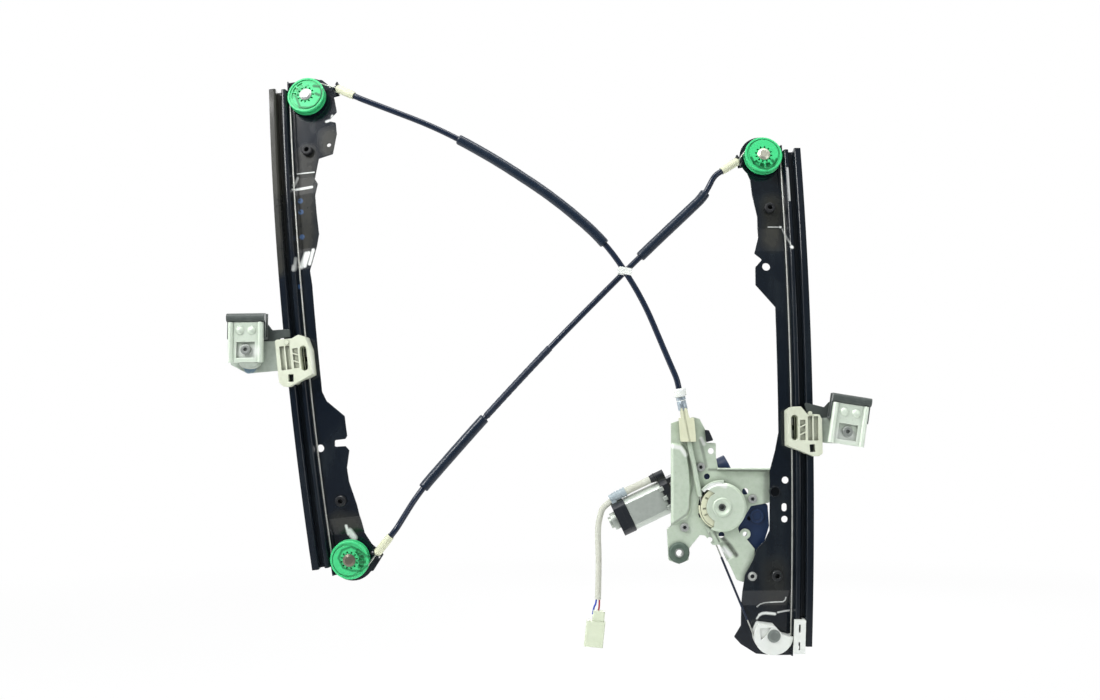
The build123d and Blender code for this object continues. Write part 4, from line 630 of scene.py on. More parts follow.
@dataclass(frozen=True)
class SoftSkin(Finish):
    """Rubber, foam or extruded plastic: a pebbled skin with a pale bloom."""

    bloom: Colour = (0.09, 0.09, 0.09)
    roughness: float = 0.75
    pebble: float = 0.0008
    depth: float = 0.00008
    sheen: float = 0.0

    def dress(self, net: NodeNet) -> None:
        """Fills the node tree with pebble and bloom."""
        pebble = net.cells(self.pebble)
        bloom = net.noise(0.008, 4.0, 0.6).span(0.45, 0.75)
        edge = net.crease(0.0009)
        body = net.mix(bloom * 0.45 + edge * 0.25, self.colour, self.bloom)
        net.surface(Base_Color=body, Roughness=self.roughness + bloom * 0.1)
        net.surface(Sheen_Weight=self.sheen, Sheen_Roughness=0.45)
        net.bump(pebble + net.noise(self.pebble * 5.0) * 0.8, self.depth, 0.7)


@dataclass(frozen=True)
class ClothTape(Finish):
    """Cloth tape: a fine weave, darker where one turn runs under the next."""

    thread: float = 0.0009

    def dress(self, net: NodeNet) -> None:
        """Fills the node tree with weave and rubbed edges."""
        pitch = 2 * math.pi / self.thread
        weave = (net.axis("X") * pitch).sine() * (net.axis("Z") * pitch).sine()
        edge = net.crease(0.0004)
        lint = net.noise(0.004, 4.0, 0.6).span(0.5, 0.72)
        body = net.mix(edge * 0.5 + lint * 0.4, self.colour, (0.020, 0.034, 0.060))
        net.surface(Base_Color=body, Roughness=0.42 + weave * 0.05)
        net.bump(weave * 0.4 + lint * 0.3, 0.00008, 0.7)


@dataclass(frozen=True)
class WovenSleeve(Finish):
    """A woven sleeve on a lead, slightly soiled with handling."""

    thread: float = 0.0011

    def dress(self, net: NodeNet) -> None:
        """Fills the node tree with crossing threads."""
        one = net.stretched((1.0, 1.0, 1.0), (0.0, 0.785, 0.0))
        pitch = 2 * math.pi / self.thread
        weave = (net.axis("X", one) * pitch).sine() * (net.axis("Z", one) * pitch).sine()
        height = weave.span(-1.0, 1.0)
        soil = net.noise(0.012, 4.0, 0.6).span(0.4, 0.75)
        dark = tuple(part * 0.68 for part in self.colour)
        body = net.mix(height * 0.5 + 0.5, dark, self.colour)
        net.surface(Base_Color=net.mix(soil * 0.4, body, (0.44, 0.42, 0.33)), Roughness=0.7)
        net.bump(height, 0.00018, 0.8)


# ------------------------------------------------------------------ marks that finishes pick out
# dabs of blue paint on the left rail
LEFT_DOTS = ((-489.1, 24.5, 282.8), (-488.1, 22.3, 271.2), (-486.1, 17.9, 245.1), (-486.6, 8.3, 193.5))
# painted sheen in lighter brownish patches: the upper web, the ear, the foot, and the outer flange in two
# stretches
LEFT_SHEEN_PATCHES = (
    *trace(16.0, 1.0, (-484.5, 331.0), (-485.5, 305.5), (-485.5, 289.0), (-482.0, 239.0)),
    *trace(15.0, 1.0, (-462.0, 350.0), (-462.0, 340.0)),
    *trace(15.0, 1.0, (-444.0, -42.0), (-432.0, -44.0)),
    *trace(10.0, 1.6, (-520.5, 395.5), (-511.5, 293.0)),
    *trace(10.0, 1.0, (-511.5, 293.0), (-506.5, 210.0)),
)
# painted highlights along the left rail's folds and joggles
LEFT_GLINT_LINES = (
    # the two joggles under the top platform and the web between them
    *trace(0.9, 0.9, (-494.0, 312.0), (-476.5, 313.5)),
    *trace(1.8, 1.1, (-496.5, 294.5), (-478.0, 297.5)),
    *trace(1.9, 0.4, (-496.5, 299.0), (-493.5, 307.5)),
    # the slanted folds above the middle
    *trace(3.0, 0.45, (-492.0, 211.0), (-491.5, 214.0)),
    *trace(1.9, 0.4, (-491.0, 214.0), (-490.5, 222.5)),
    *trace(3.2, 1.0, (-485.5, 214.0), (-481.0, 227.5)),
    *trace(2.6, 1.0, (-482.0, 215.0), (-478.5, 228.5)),
    *trace(2.2, 1.1, (-477.0, 217.0), (-474.0, 231.5)),
    # the ear's upper edge, and the fold above the bottom pulley
    *trace(1.9, 1.0, (-466.0, 368.0), (-460.5, 370.0), (-460.0, 374.0)),
    *trace(2.0, 1.0, (-438.0, -46.0), (-436.0, -54.5)),
    *trace(4.2, 1.2, (-435.0, -51.5), (-430.5, -58.0)),
)
# painted sheen in lighter brownish patches on the right rail's upper web and foot
RIGHT_SHEEN_PATCHES = (
    *trace(16.0, 1.0, (-4.5, 280.5), (-7.5, 243.0)),
    *trace(18.0, 0.7, (-10.0, -89.5), (-9.5, -118.0)),
)
# painted highlights along the right rail's folds and joggles
RIGHT_GLINT_LINES = (
    # the joggle under the top platform, its slanted end, and the bright ends of both
    *trace(0.8, 0.6, (-10.5, 257.0), (2.0, 257.0)),
    *trace(1.5, 1.2, (2.0, 257.0), (2.5, 257.0)),
    *trace(0.9, 0.4, (4.0, 255.0), (10.5, 236.0)),
    *trace(2.0, 1.3, (11.0, 235.0), (11.5, 234.5)),
    # the two folds above the foot
    *trace(0.9, 0.5, (-27.0, -127.0), (-24.0, -124.5), (-20.0, -123.0), (-14.0, -122.5)),
    *trace(0.9, 0.8, (-14.0, -122.5), (-1.0, -122.0), (1.0, -120.0), (1.5, -117.5)),
    *trace(1.4, 0.9, (-27.0, -139.0), (-25.0, -136.0)),
    *trace(1.9, 1.1, (-24.5, -135.5), (-22.0, -134.0), (-18.0, -133.5), (-13.0, -134.0), (-9.0, -134.5)),
    *trace(1.2, 0.8, (-6.0, -133.0), (1.5, -131.5), (5.5, -131.0)),
    # the side of the channel beside the top pulley
    *trace(1.4, 0.6, (10.5, 318.5), (11.0, 284.0)),
)
# painted shade along the drive plate's steps and folds
PLATE_SHADE_LINES = (
    # the foot of the plate's raised left side, then both sides of the rope's channel
    *trace(1.7, 0.55, (-100.0, 33.5), (-96.0, 24.5), (-93.0, 13.5), (-91.5, -5.5), (-94.5, -17.0),
           (-95.0, -28.0), (-97.5, -34.0), (-104.5, -39.0), (-115.5, -46.5)),
    *trace(2.2, 0.55, (-84.0, 39.5), (-81.0, 27.5), (-78.0, 13.5)),
    # under the upper flange and beside the rail
    *trace(1.9, 0.6, (-75.0, 10.0), (-54.0, 9.5), (-18.0, 9.0)),
    *trace(4.0, 0.4, (-17.5, 6.0), (-18.5, -23.0)),
    # the pressed ramp of the leg
    *trace(3.2, 1.0, (-61.5, -58.5), (-54.5, -66.0), (-48.5, -75.0)),
    *trace(1.6, 0.5, (-75.0, -53.0), (-71.5, -62.0)),
    *trace(1.4, 0.6, (-71.0, -52.0), (-65.5, -61.0)),
)
# painted highlights along bends: over the raised side, beside the inlet guide, and at the ramp's foot
PLATE_SHINES = (
    *trace(3.2, 0.9, (-111.5, 33.5), (-103.5, 32.0), (-98.5, 25.0)),
    *trace(2.4, 0.8, (-83.0, 41.5), (-80.0, 35.5)),
    *trace(4.0, 1.0, (-61.0, -69.0), (-54.5, -75.0)),
)
PULLEY_SHADE_MARKS = (
    # painted shade along the step of each pulley's off-centre dish, then in its pockets: top left, bottom
    # left, top right
    *trace(1.7, 0.9, (-497.5, 394.0), (-492.5, 382.0), (-483.5, 381.0), (-476.5, 383.5),
           (-470.5, 393.0), (-470.0, 401.0)),
    *trace(1.3, 0.6, (-497.5, 394.0), (-494.5, 401.0), (-485.0, 406.0)),
    *trace(2.3, 1.0, (-479.0, 405.0), (-473.0, 404.0)),
    *trace(2.3, 1.0, (-476.5, 396.5), (-472.5, 394.5)),
    *trace(1.7, 0.8, (-415.0, -76.0), (-424.0, -69.5), (-432.0, -66.0), (-441.0, -69.5),
           (-444.5, -77.5), (-440.0, -87.0), (-431.0, -90.0), (-422.0, -90.0), (-416.0, -85.0)),
    *trace(2.6, 1.0, (-424.0, -74.0), (-420.0, -76.5)),
    *trace(3.0, 1.0, (-423.5, -80.0), (-419.0, -81.0)),
    *trace(2.6, 1.0, (-423.5, -86.0), (-420.5, -85.5)),
    *trace(1.9, 1.0, (-26.5, 329.5), (-24.0, 323.5), (-18.5, 319.0), (-11.0, 317.0), (-3.5, 321.0),
           (-0.5, 328.0)),
    *trace(2.8, 1.0, (-16.5, 323.0), (-14.5, 319.5)),
    *trace(2.8, 1.0, (-10.5, 323.0), (-8.0, 319.0)),
    *trace(2.6, 1.0, (-5.0, 326.5), (-2.5, 323.5)),
)


class Finishes(Enum):
    """Every finish on the regulator."""

    LEFT_RAIL = DipPaint("left_rail_paint", (0.0045, 0.0080, 0.0145), dots=LEFT_DOTS, films=LEFT_SHEEN_PATCHES,
                         worn=LEFT_GLINT_LINES)
    RIGHT_RAIL = DipPaint("right_rail_paint", (0.0045, 0.0080, 0.0135), films=RIGHT_SHEEN_PATCHES, worn=RIGHT_GLINT_LINES)
    NUT_PAINT = DipPaint("nut_paint", (0.014, 0.015, 0.017), roughness=0.40)
    ZINC_PLATE = ZincSheet("zinc_plate", (0.60, 0.71, 0.56), stain=(0.45, 0.54, 0.42), creases=PLATE_SHADE_LINES,
                           shines=PLATE_SHINES)
    COVER_ZINC = ZincSheet(
        "cover_zinc", (0.66, 0.77, 0.62), stain=(0.50, 0.60, 0.46), grain_turn=0.8, roughness=0.36,
        shines=trace(3.0, 0.9, (-81.5, -12.5), (-74.0, -5.0), (-66.0, -4.0), (-60.0, -6.0)))
    LEFT_CLAMP = ZincSheet(
        "left_clamp_zinc", (0.70, 0.80, 0.67), stain=(0.52, 0.61, 0.49), roughness=0.32,
        shines=trace(8.5, 0.65, (-538.5, 128.0), (-526.5, 128.0)))
    # the same zinc as the left clamp, made lighter: painted light
    RIGHT_CLAMP = ZincSheet(
        "right_clamp_zinc", (0.86, 0.96, 0.82), stain=(0.60, 0.70, 0.57), roughness=0.32,
        shines=trace(8.0, 0.6, (50.5, 46.0), (62.0, 44.0)))
    # the arms carry painted shade above a height
    LEFT_ARM = ZincSheet("left_arm_zinc", (0.50, 0.57, 0.49), stain=(0.30, 0.36, 0.30), dipped_over=137.5,
                         mark_at=(-533.0, -5.5, 112.5), mark_reach=7.5)
    LIP_ZINC = ZincSheet("lip_zinc", (0.40, 0.46, 0.39), stain=(0.26, 0.31, 0.26), roughness=0.3)
    RIGHT_ARM = ZincSheet("right_arm_zinc", (0.50, 0.57, 0.49), stain=(0.30, 0.36, 0.30), dipped_over=61.5)
    MOTOR_ZINC = ZincSheet("motor_zinc", (0.56, 0.61, 0.55), stain=(0.46, 0.51, 0.46), metallic=0.55,
                           roughness=0.26, grain_turn=1.1, cloudy=0.3)
    BARREL_ZINC = ZincSheet("barrel_zinc", (0.40, 0.48, 0.54), stain=(0.30, 0.36, 0.42), metallic=0.7,
                            roughness=0.3)
    BRIGHT_STEEL = BrightSteel("bright_steel", (0.74, 0.76, 0.72))
    # one rivet is dipped with the rail; the bottom left pin is darkened, and the top right one yellowish
    RIVET_STEEL = BrightSteel("rivet_steel", (0.70, 0.72, 0.68), patches=(
        ((-10.5, -2.0, -11.4), 9.0, (0.008, 0.010, 0.012)),))
    PIN_STEEL = BrightSteel("pin_steel", (0.80, 0.82, 0.79), patches=(
        ((-437.0, 0.0, -82.0), 30.0, (0.22, 0.20, 0.155)), ((-17.0, 30.0, 320.0), 60.0, (0.66, 0.66, 0.54))))
    SCREW_STEEL = BrightSteel("screw_steel", (0.42, 0.45, 0.42), roughness=0.34)
    DULL_STEEL = BrightSteel("dull_steel", (0.26, 0.29, 0.27), roughness=0.4)
    BRASS = BrightSteel("contact_brass", (0.70, 0.52, 0.22))
    GREEN_NYLON = Moulding("green_nylon", (0.055, 0.66, 0.235), shade=(0.03, 0.50, 0.16), roughness=0.30,
                           soil=(0.004, 0.17, 0.05), corner=0.8, marks=PULLEY_SHADE_MARKS)
    WHITE_NYLON = Moulding("white_nylon", (0.72, 0.76, 0.62), shade=(0.50, 0.53, 0.38), subsurface=0.1,
                           soil=(0.10, 0.105, 0.07), corner=0.85, roughness=0.34)
    GUIDE_NYLON = Moulding("guide_nylon", (0.84, 0.87, 0.83), shade=(0.72, 0.76, 0.70), subsurface=0.1)
    IVORY_NYLON = Moulding("ivory_nylon", (0.72, 0.74, 0.54), shade=(0.56, 0.58, 0.40), subsurface=0.1)
    PALE_NYLON = Moulding("pale_nylon", (0.72, 0.78, 0.60), shade=(0.60, 0.68, 0.48), subsurface=0.1)
    BLACK_PLASTIC = Moulding("black_plastic", (0.010, 0.013, 0.018), shade=(0.02, 0.025, 0.03))
    NAVY_PLASTIC = Moulding("navy_plastic", (0.006, 0.024, 0.080), shade=(0.010, 0.032, 0.085),
                            roughness=0.45, soil=(0.004, 0.006, 0.012))
    STEEL_ROPE = WireRope("steel_rope", (0.66, 0.67, 0.62))
    CONDUIT = SoftSkin("conduit_skin", (0.006, 0.014, 0.034), bloom=(0.010, 0.022, 0.045), roughness=0.24,
                       pebble=0.0012, depth=0.00003)
    FOAM = SoftSkin("foam_skin", (0.006, 0.015, 0.032), bloom=(0.012, 0.024, 0.042), roughness=0.30,
                    pebble=0.0011, depth=0.00006)
    TAPE = ClothTape("cloth_tape", (0.006, 0.015, 0.036))
    BLACK_RUBBER = SoftSkin("black_rubber", (0.060, 0.074, 0.068), bloom=(0.13, 0.15, 0.14), roughness=0.46,
                            sheen=0.2)
    GREY_RUBBER = SoftSkin("grey_rubber", (0.075, 0.115, 0.088), bloom=(0.17, 0.21, 0.18), roughness=0.6)
    PALE_STRAP = SoftSkin("pale_strap", (0.36, 0.43, 0.46), bloom=(0.52, 0.58, 0.60), roughness=0.4)
    LEAD_SLEEVE = WovenSleeve("lead_weave", (0.70, 0.72, 0.62))
    BLUE_WIRE = Moulding("blue_wire", (0.02, 0.07, 0.55), shade=(0.02, 0.05, 0.4), roughness=0.35)
    RED_WIRE = Moulding("red_wire", (0.50, 0.03, 0.06), shade=(0.35, 0.02, 0.04), roughness=0.35)
    # near-black discs, painted shade set in bores and sockets
    DARK_RECESS = DipPaint("dark_recess", (0.006, 0.007, 0.008), roughness=0.55)

    def material(self) -> bpy.types.Material:
        """Gives the finish's material."""
        return self.value.build()


# ------------------------------------------------------------------ shapes
@dataclass(frozen=True)
class Spot:
    """A local frame on the regulator, in millimetres: across, back from the viewer, and up."""

    origin: Point
    across: Point = (1.0, 0.0, 0.0)
    back: Point = (0.0, 1.0, 0.0)
    up: Point = (0.0, 0.0, 1.0)

    def at(self, x: float, y: float, z: float) -> Point:
        """Gives a local place in the regulator's frame.

        Args:
            x: distance across.
            y: distance back.
            z: distance up.

        Returns:
            The place in millimetres.
        """
        across, back, up = Vector(self.across), Vector(self.back), Vector(self.up)
        return tuple(Vector(self.origin) + across * x + back * y + up * z)


def turned_spot(origin: Point, tilt: float, roll: float, yaw: float) -> Spot:
    """Gives a frame turned about the regulator's own axes.

    Args:
        origin: its place in millimetres.
        tilt: angle about the across axis, in degrees.
        roll: angle about the back axis, which is applied second.
        yaw: angle about the up axis, which is applied last.

    Returns:
        The frame.
    """
    turn = Euler((math.radians(tilt), math.radians(roll), math.radians(yaw))).to_matrix()
    return Spot(origin, *(tuple(turn.col[index]) for index in range(3)))


LEFT_CLAMP_SPOT = turned_spot((-532.85, 9.34, 135.65), -2.4, -0.4, -6.3)
MOTOR_SPOT = turned_spot((-76.475, 24.5, 1.251), 0.0, -25.5, 0.0)
CONNECTOR_SPOT = turned_spot((-188.3, 27.0, -149.0), 0.0, 6.0, 0.0)


def circle(sides: int) -> list[float]:
    """Gives evenly spaced angles round a circle."""
    return [2 * math.pi * index / sides for index in range(sides)]


def rectangle(left: float, right: float, low: float, high: float) -> list[Place]:
    """Gives a rectangle's corners."""
    return [(left, low), (right, low), (right, high), (left, high)]


@dataclass
class Shell:
    """A mesh in the making: rings of points joined by quads."""

    points: list[Point] = field(default_factory=list)
    faces: list[tuple[int, ...]] = field(default_factory=list)

    def ring(self, points: Sequence[Point]) -> list[int]:
        """Adds points.

        Args:
            points: places in millimetres.

        Returns:
            Their numbers.
        """
        first = len(self.points)
        self.points.extend(tuple(point) for point in points)
        return list(range(first, len(self.points)))

    def join(self, other: "Shell") -> None:
        """Takes in another mesh in the making."""
        first = len(self.points)
        self.points += other.points
        self.faces += [tuple(index + first for index in face) for face in other.faces]

    def band(self, first: Sequence[int], second: Sequence[int]) -> None:
        """Joins two closed rings of the same count with quads."""
        count = len(first)
        for index in range(count):
            after = (index + 1) % count
            self.faces.append((first[index], first[after], second[after], second[index]))

    def skin(self, rings: Sequence[Sequence[Point]], lids: bool = True) -> None:
        """Adds a row of rings with its sides and, if wanted, its two ends."""
        rows = [self.ring(ring) for ring in rings]
        for first, second in zip(rows, rows[1:]):
            self.band(first, second)
        if lids:
            self.faces.extend((tuple(rows[0][::-1]), tuple(rows[-1])))

    def turned(self, spot: Spot, profile: Sequence[tuple[float, float]], sides: int = 32,
               lids: bool = True) -> None:
        """Adds a turned form about a spot's back axis.

        Args:
            spot: its frame.
            profile: (radius, distance back) pairs.
            sides: points in each ring.
            lids: whether its ends are closed.
        """
        self.skin([[spot.at(radius * math.cos(turn), back, radius * math.sin(turn)) for turn in circle(sides)]
                   for radius, back in profile], lids)

    def slab(self, spot: Spot, outline: Sequence[Place], front: float, back: float,
             chamfer: float = 0.0) -> None:
        """Adds a plate with softened front edges.

        Args:
            spot: its frame.
            outline: (across, up) corners.
            front: where its front lies along the back axis.
            back: where its back lies.
            chamfer: how far its front edge is drawn in.
        """
        middle = (sum(x for x, _ in outline) / len(outline), sum(z for _, z in outline) / len(outline))
        rings = []
        for depth, inset in ((front, chamfer), (front + chamfer, 0.0), (back, 0.0)):
            ring = []
            for x, z in outline:
                out_x, out_z = x - middle[0], z - middle[1]
                share = 1.0 - inset / (math.hypot(out_x, out_z) or 1.0)
                ring.append(spot.at(middle[0] + out_x * share, depth, middle[1] + out_z * share))
            rings.append(ring)
        self.skin(rings)


@dataclass(frozen=True)
class Route:
    """A line of straight runs joined by tangent arcs, as a cable lies."""

    corners: tuple[Point, ...]
    share: float = 0.45
    arc_steps: int = 24

    def line(self) -> list[Vector]:
        """Gives close points along the route, in millimetres."""
        corners = [Vector(corner) for corner in self.corners]
        points = [corners[0]]
        for before, here, after in zip(corners, corners[1:], corners[2:]):
            run_in, run_out = here - before, after - here
            cut = self.share * min(run_in.length, run_out.length)
            one, two = run_in.normalized(), run_out.normalized()
            turn = one.angle(two)
            radius = cut / math.tan(turn / 2)
            side = (two - one * one.dot(two)).normalized()
            start = here - one * cut
            for step in range(self.arc_steps + 1):
                angle = turn * step / self.arc_steps
                points.append(start + one * (radius * math.sin(angle))
                              + side * (radius * (1.0 - math.cos(angle))))
        return points + [corners[-1]]

    def stretch(self, start: float, end: float, step: float) -> list[tuple[float, Vector, Vector]]:
        """Gives evenly spaced places along a part of the route.

        Args:
            start: distance of the first place.
            end: distance of the last place.
            step: wanted spacing.

        Returns:
            (distance, place, direction) for each.
        """
        points = self.line()
        far = [0.0]
        for one, two in zip(points, points[1:]):
            far.append(far[-1] + (two - one).length)
        count = max(2, round((end - start) / step))
        places, index = [], 0
        for number in range(count + 1):
            distance = start + (end - start) * number / count
            while index < len(points) - 2 and far[index + 1] < distance:
                index += 1
            run = points[index + 1] - points[index]
            share = (distance - far[index]) / max(far[index + 1] - far[index], 1e-9)
            places.append((distance, points[index] + run * share, run.normalized()))
        return places


UPPER_ROUTE = Route((
    (-439.24, 37.95, 394.95), (-428.78, 35.05, 389.83), (-349.0, 30.0, 358.5), (-291.0, 23.5, 326.0),
    (-229.0, 19.5, 284.5), (-177.0, 14.5, 239.0), (-140.5, 9.5, 181.0), (-118.5, 3.5, 127.0),
    (-107.3, -1.42, 99.94), (-104.99, -1.16, 88.16)))
CROSSING_ROUTE = Route((
    (-394.16, -3.04, -57.53), (-386.74, -4.87, -48.28), (-366.0, 15.5, -13.0), (-303.5, 17.5, 58.5),
    (-235.0, 19.5, 132.5), (-147.0, 25.0, 221.5), (-76.0, 35.0, 289.0), (-65.05, 33.92, 310.31),
    (-55.17, 36.28, 316.7)))
LEAD_ROUTE = Route(((-127.68, 20.5, 1.756), (-178.676, 20.5, -22.568), (-184.9, 24.0, -41.0),
                    (-185.8, 27.0, -58.0), (-184.6, 27.0, -82.0), (-185.6, 27.0, -122.0)))


@dataclass(frozen=True)
class Sleeve:
    """A soft sleeve on a route: its ends, its radius and how its surface rises and falls."""

    start: float
    end: float
    radius: float
    bore: float
    rough: float = 0.12
    turn_pitch: float = 0.0
    seam: float = 0.0
    step: float = 1.3
    sides: int = 22
    turn_step: float = 0.24
    seam_angle: float = 4.4
    seam_width: float = 0.16
    rim_drop: float = 0.5
    rim_width: float = 0.9

    def _radius(self, distance: float, angle: float) -> float:
        """Gives the radius at a distance and angle, with the swell, turns, seam and soft rim."""
        here = Vector((math.cos(angle) * 2.2, math.sin(angle) * 2.2, distance * 0.16))
        swell = noise.noise(here) * self.rough - self.rough
        if self.turn_pitch > 0.0:
            swell -= self.turn_step * (1.0 - (distance / self.turn_pitch + angle / (2 * math.pi)) % 1.0)
        if self.seam > 0.0:
            swell -= self.seam * math.exp(-((angle - self.seam_angle) / self.seam_width) ** 2)
        rim = min(distance - self.start, self.end - distance)
        return self.radius + swell - self.rim_drop * max(0.0, 1.0 - rim / self.rim_width) ** 2

    def shell(self, route: Route) -> Shell:
        """Sweeps the sleeve along a route.

        Args:
            route: the line that it sits on.

        Returns:
            The mesh in the making.
        """
        places = route.stretch(self.start, self.end, self.step)
        side = places[0][2].orthogonal().normalized()
        rings, bores = [], []
        for distance, place, along in places:
            side = (side - along * side.dot(along)).normalized()
            other = along.cross(side)
            ring, bore = [], []
            for angle in circle(self.sides):
                way = side * math.cos(angle) + other * math.sin(angle)
                ring.append(tuple(place + way * self._radius(distance, angle)))
                bore.append(tuple(place + way * self.bore))
            rings.append(ring)
            bores.append(bore)
        shell = Shell()
        shell.skin([bores[0], *rings, bores[-1]], lids=False)
        return shell


# ------------------------------------------------------------------ sub-assemblies
@dataclass
class Assembly:
    """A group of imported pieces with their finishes, and the pieces that are added to them."""

    frame: Mapping[str, Any]

    def finishes(self) -> dict[str, Finishes]:
        """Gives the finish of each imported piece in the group."""
        raise NotImplementedError

    def dress(self) -> None:
        """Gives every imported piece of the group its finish."""
        for node, finish in self.finishes().items():
            piece = self.frame["nodes"][node]
            for slot in piece.material_slots:
                slot.link = "OBJECT"
                slot.material = finish.material()
            if not piece.material_slots:
                piece.data.materials.append(finish.material())
            LOG.info("%s: %s", node, finish.value.name)

    def build(self) -> None:
        """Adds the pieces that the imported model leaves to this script."""

    @staticmethod
    def _settle(name: str, data: bpy.types.ID, finish: Finishes, body: str, slot: str) -> bpy.types.Object:
        """Puts new data in the scene with its finish and its body."""
        data.materials.append(finish.material())
        piece = bpy.data.objects.new(name, data)
        bpy.context.scene.collection.objects.link(piece)
        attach(piece, body)
        LOG.info("%s: %s", name, finish.value.name)
        return piece

    def mesh(self, name: str, shell: Shell, finish: Finishes, slot: str, body: str = "frame",
             smooth: float = 40.0) -> bpy.types.Object:
        """Makes a mesh piece.

        Args:
            name: the piece's name.
            shell: its points and faces.
            finish: its finish.
            slot: the record's material slot; it is not used.
            body: the body that it rides on.
            smooth: edges flatter than this many degrees are shaded smooth.

        Returns:
            The object.
        """
        data = bpy.data.meshes.new(name)
        data.from_pydata([tuple(point) for point in metres(shell.points)], [], shell.faces)
        form = bmesh.new()
        form.from_mesh(data)
        bmesh.ops.recalc_face_normals(form, faces=form.faces)
        for edge in form.edges:
            edge.smooth = len(edge.link_faces) == 2 and edge.calc_face_angle(0.0) < math.radians(smooth)
        for face in form.faces:
            face.smooth = True
        form.to_mesh(data)
        form.free()
        return self._settle(name, data, finish, body, slot)

    def tube(self, name: str, points: Sequence[Point], radius: float, finish: Finishes,
             slot: str) -> bpy.types.Object:
        """Makes a smooth round tube on control points, which rides on the frame.

        Args:
            name: the piece's name.
            points: control points in millimetres.
            radius: half its thickness, in millimetres.
            finish: its finish.
            slot: the record's material slot; it is not used.

        Returns:
            The curve object.
        """
        curve = bpy.data.curves.new(name, "CURVE")
        curve.dimensions = "3D"
        curve.bevel_depth = radius * MM
        curve.bevel_resolution = 5
        curve.resolution_u = 16
        curve.use_fill_caps = True
        spline = curve.splines.new("NURBS")
        spline.points.add(len(points) - 1)
        for knot, place in zip(spline.points, metres(points)):
            knot.co = (*place, 1.0)
        spline.order_u = 3
        spline.use_endpoint_u = True
        return self._settle(name, curve, finish, "frame", slot)


@dataclass
class GuideRails(Assembly):
    """The two curved rails, with what is fixed to them."""

    nut_places: tuple[tuple[Point, Point], ...] = (
        ((-484.62, 35.12, 336.75), (0.130, 0.964, -0.224)), ((-442.37, -1.86, -20.75), (0.097, 0.991, 0.080)),
        ((-8.41, 34.36, 276.86), (-0.051, 0.972, -0.230)), ((-8.42, 0.13, -94.95), (-0.052, 0.995, 0.080)))
    nut_end_radius: float = 4.4
    nut_end_depth: float = 1.9
    nut_end_thick: float = 0.8

    def finishes(self) -> dict[str, Finishes]:
        """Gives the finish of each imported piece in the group."""
        return {
            "left_guide_rail": Finishes.LEFT_RAIL, "right_guide_rail": Finishes.RIGHT_RAIL,
            "rail_weld_nuts": Finishes.NUT_PAINT, "bottom_cable_guide": Finishes.GUIDE_NYLON,
            "cable_guide_rivet": Finishes.DULL_STEEL, "rail_end_stop": Finishes.GUIDE_NYLON,
        }

    def build(self) -> None:
        """Closes the far ends of the four blind weld nuts with near-black discs, painted shade in their
        bores.
        """
        ends = Shell()
        for place, back in self.nut_places:
            way = Vector(back).normalized()
            across = way.cross(Vector((0.0, 0.0, 1.0))).normalized()
            spot = Spot(place, tuple(across), tuple(way), tuple(across.cross(way)))
            ends.turned(spot, [(self.nut_end_radius, self.nut_end_depth),
                               (self.nut_end_radius, self.nut_end_depth + self.nut_end_thick)], 24)
        self.mesh("nut_ends", ends, Finishes.DARK_RECESS, "dark_nut")


@dataclass
class CablePulleys(Assembly):
    """The three green pulleys and their rivets."""

    def finishes(self) -> dict[str, Finishes]:
        """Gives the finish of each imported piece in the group."""
        return {
            "top_left_pulley": Finishes.GREEN_NYLON, "bottom_left_pulley": Finishes.GREEN_NYLON,
            "top_right_pulley": Finishes.GREEN_NYLON, "pulley_pins": Finishes.PIN_STEEL,
        }


@dataclass
class GlassCarriers(Assembly):
    """The two carriers that hold the glass."""

    lip_middle: Place = (3.6, -20.0)
    lip_half: Place = (10.5, 6.2)
    lip_depth: tuple[float, float] = (-24.2, -17.5)
    lip_chamfer: float = 1.4
    lip_steps: int = 16

    def finishes(self) -> dict[str, Finishes]:
        """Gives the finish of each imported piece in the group."""
        group = {}
        for side, arm, clamp in (("left", Finishes.LEFT_ARM, Finishes.LEFT_CLAMP),
                                 ("right", Finishes.RIGHT_ARM, Finishes.RIGHT_CLAMP)):
            group |= {
                f"{side}_slider": Finishes.WHITE_NYLON, f"{side}_carrier_arm": arm,
                f"{side}_glass_clamp": clamp, f"{side}_clamp_rubber": Finishes.BLACK_RUBBER,
                f"{side}_clamp_screw": Finishes.SCREW_STEEL, f"{side}_cable_nipples": Finishes.BRIGHT_STEEL,
            }
        return group

    def build(self) -> None:
        """Adds the rounded lip under the left clamp."""
        outline = []
        for step in range(self.lip_steps + 1):
            turn = math.pi * (1.0 + step / self.lip_steps)
            outline.append((self.lip_middle[0] + self.lip_half[0] * math.cos(turn),
                            self.lip_middle[1] + self.lip_half[1] * math.sin(turn)))
        lip = Shell()
        lip.slab(LEFT_CLAMP_SPOT, outline, *self.lip_depth, self.lip_chamfer)
        self.mesh("left_clamp_lip", lip, Finishes.LIP_ZINC, "zinc_steel", "left_carrier")


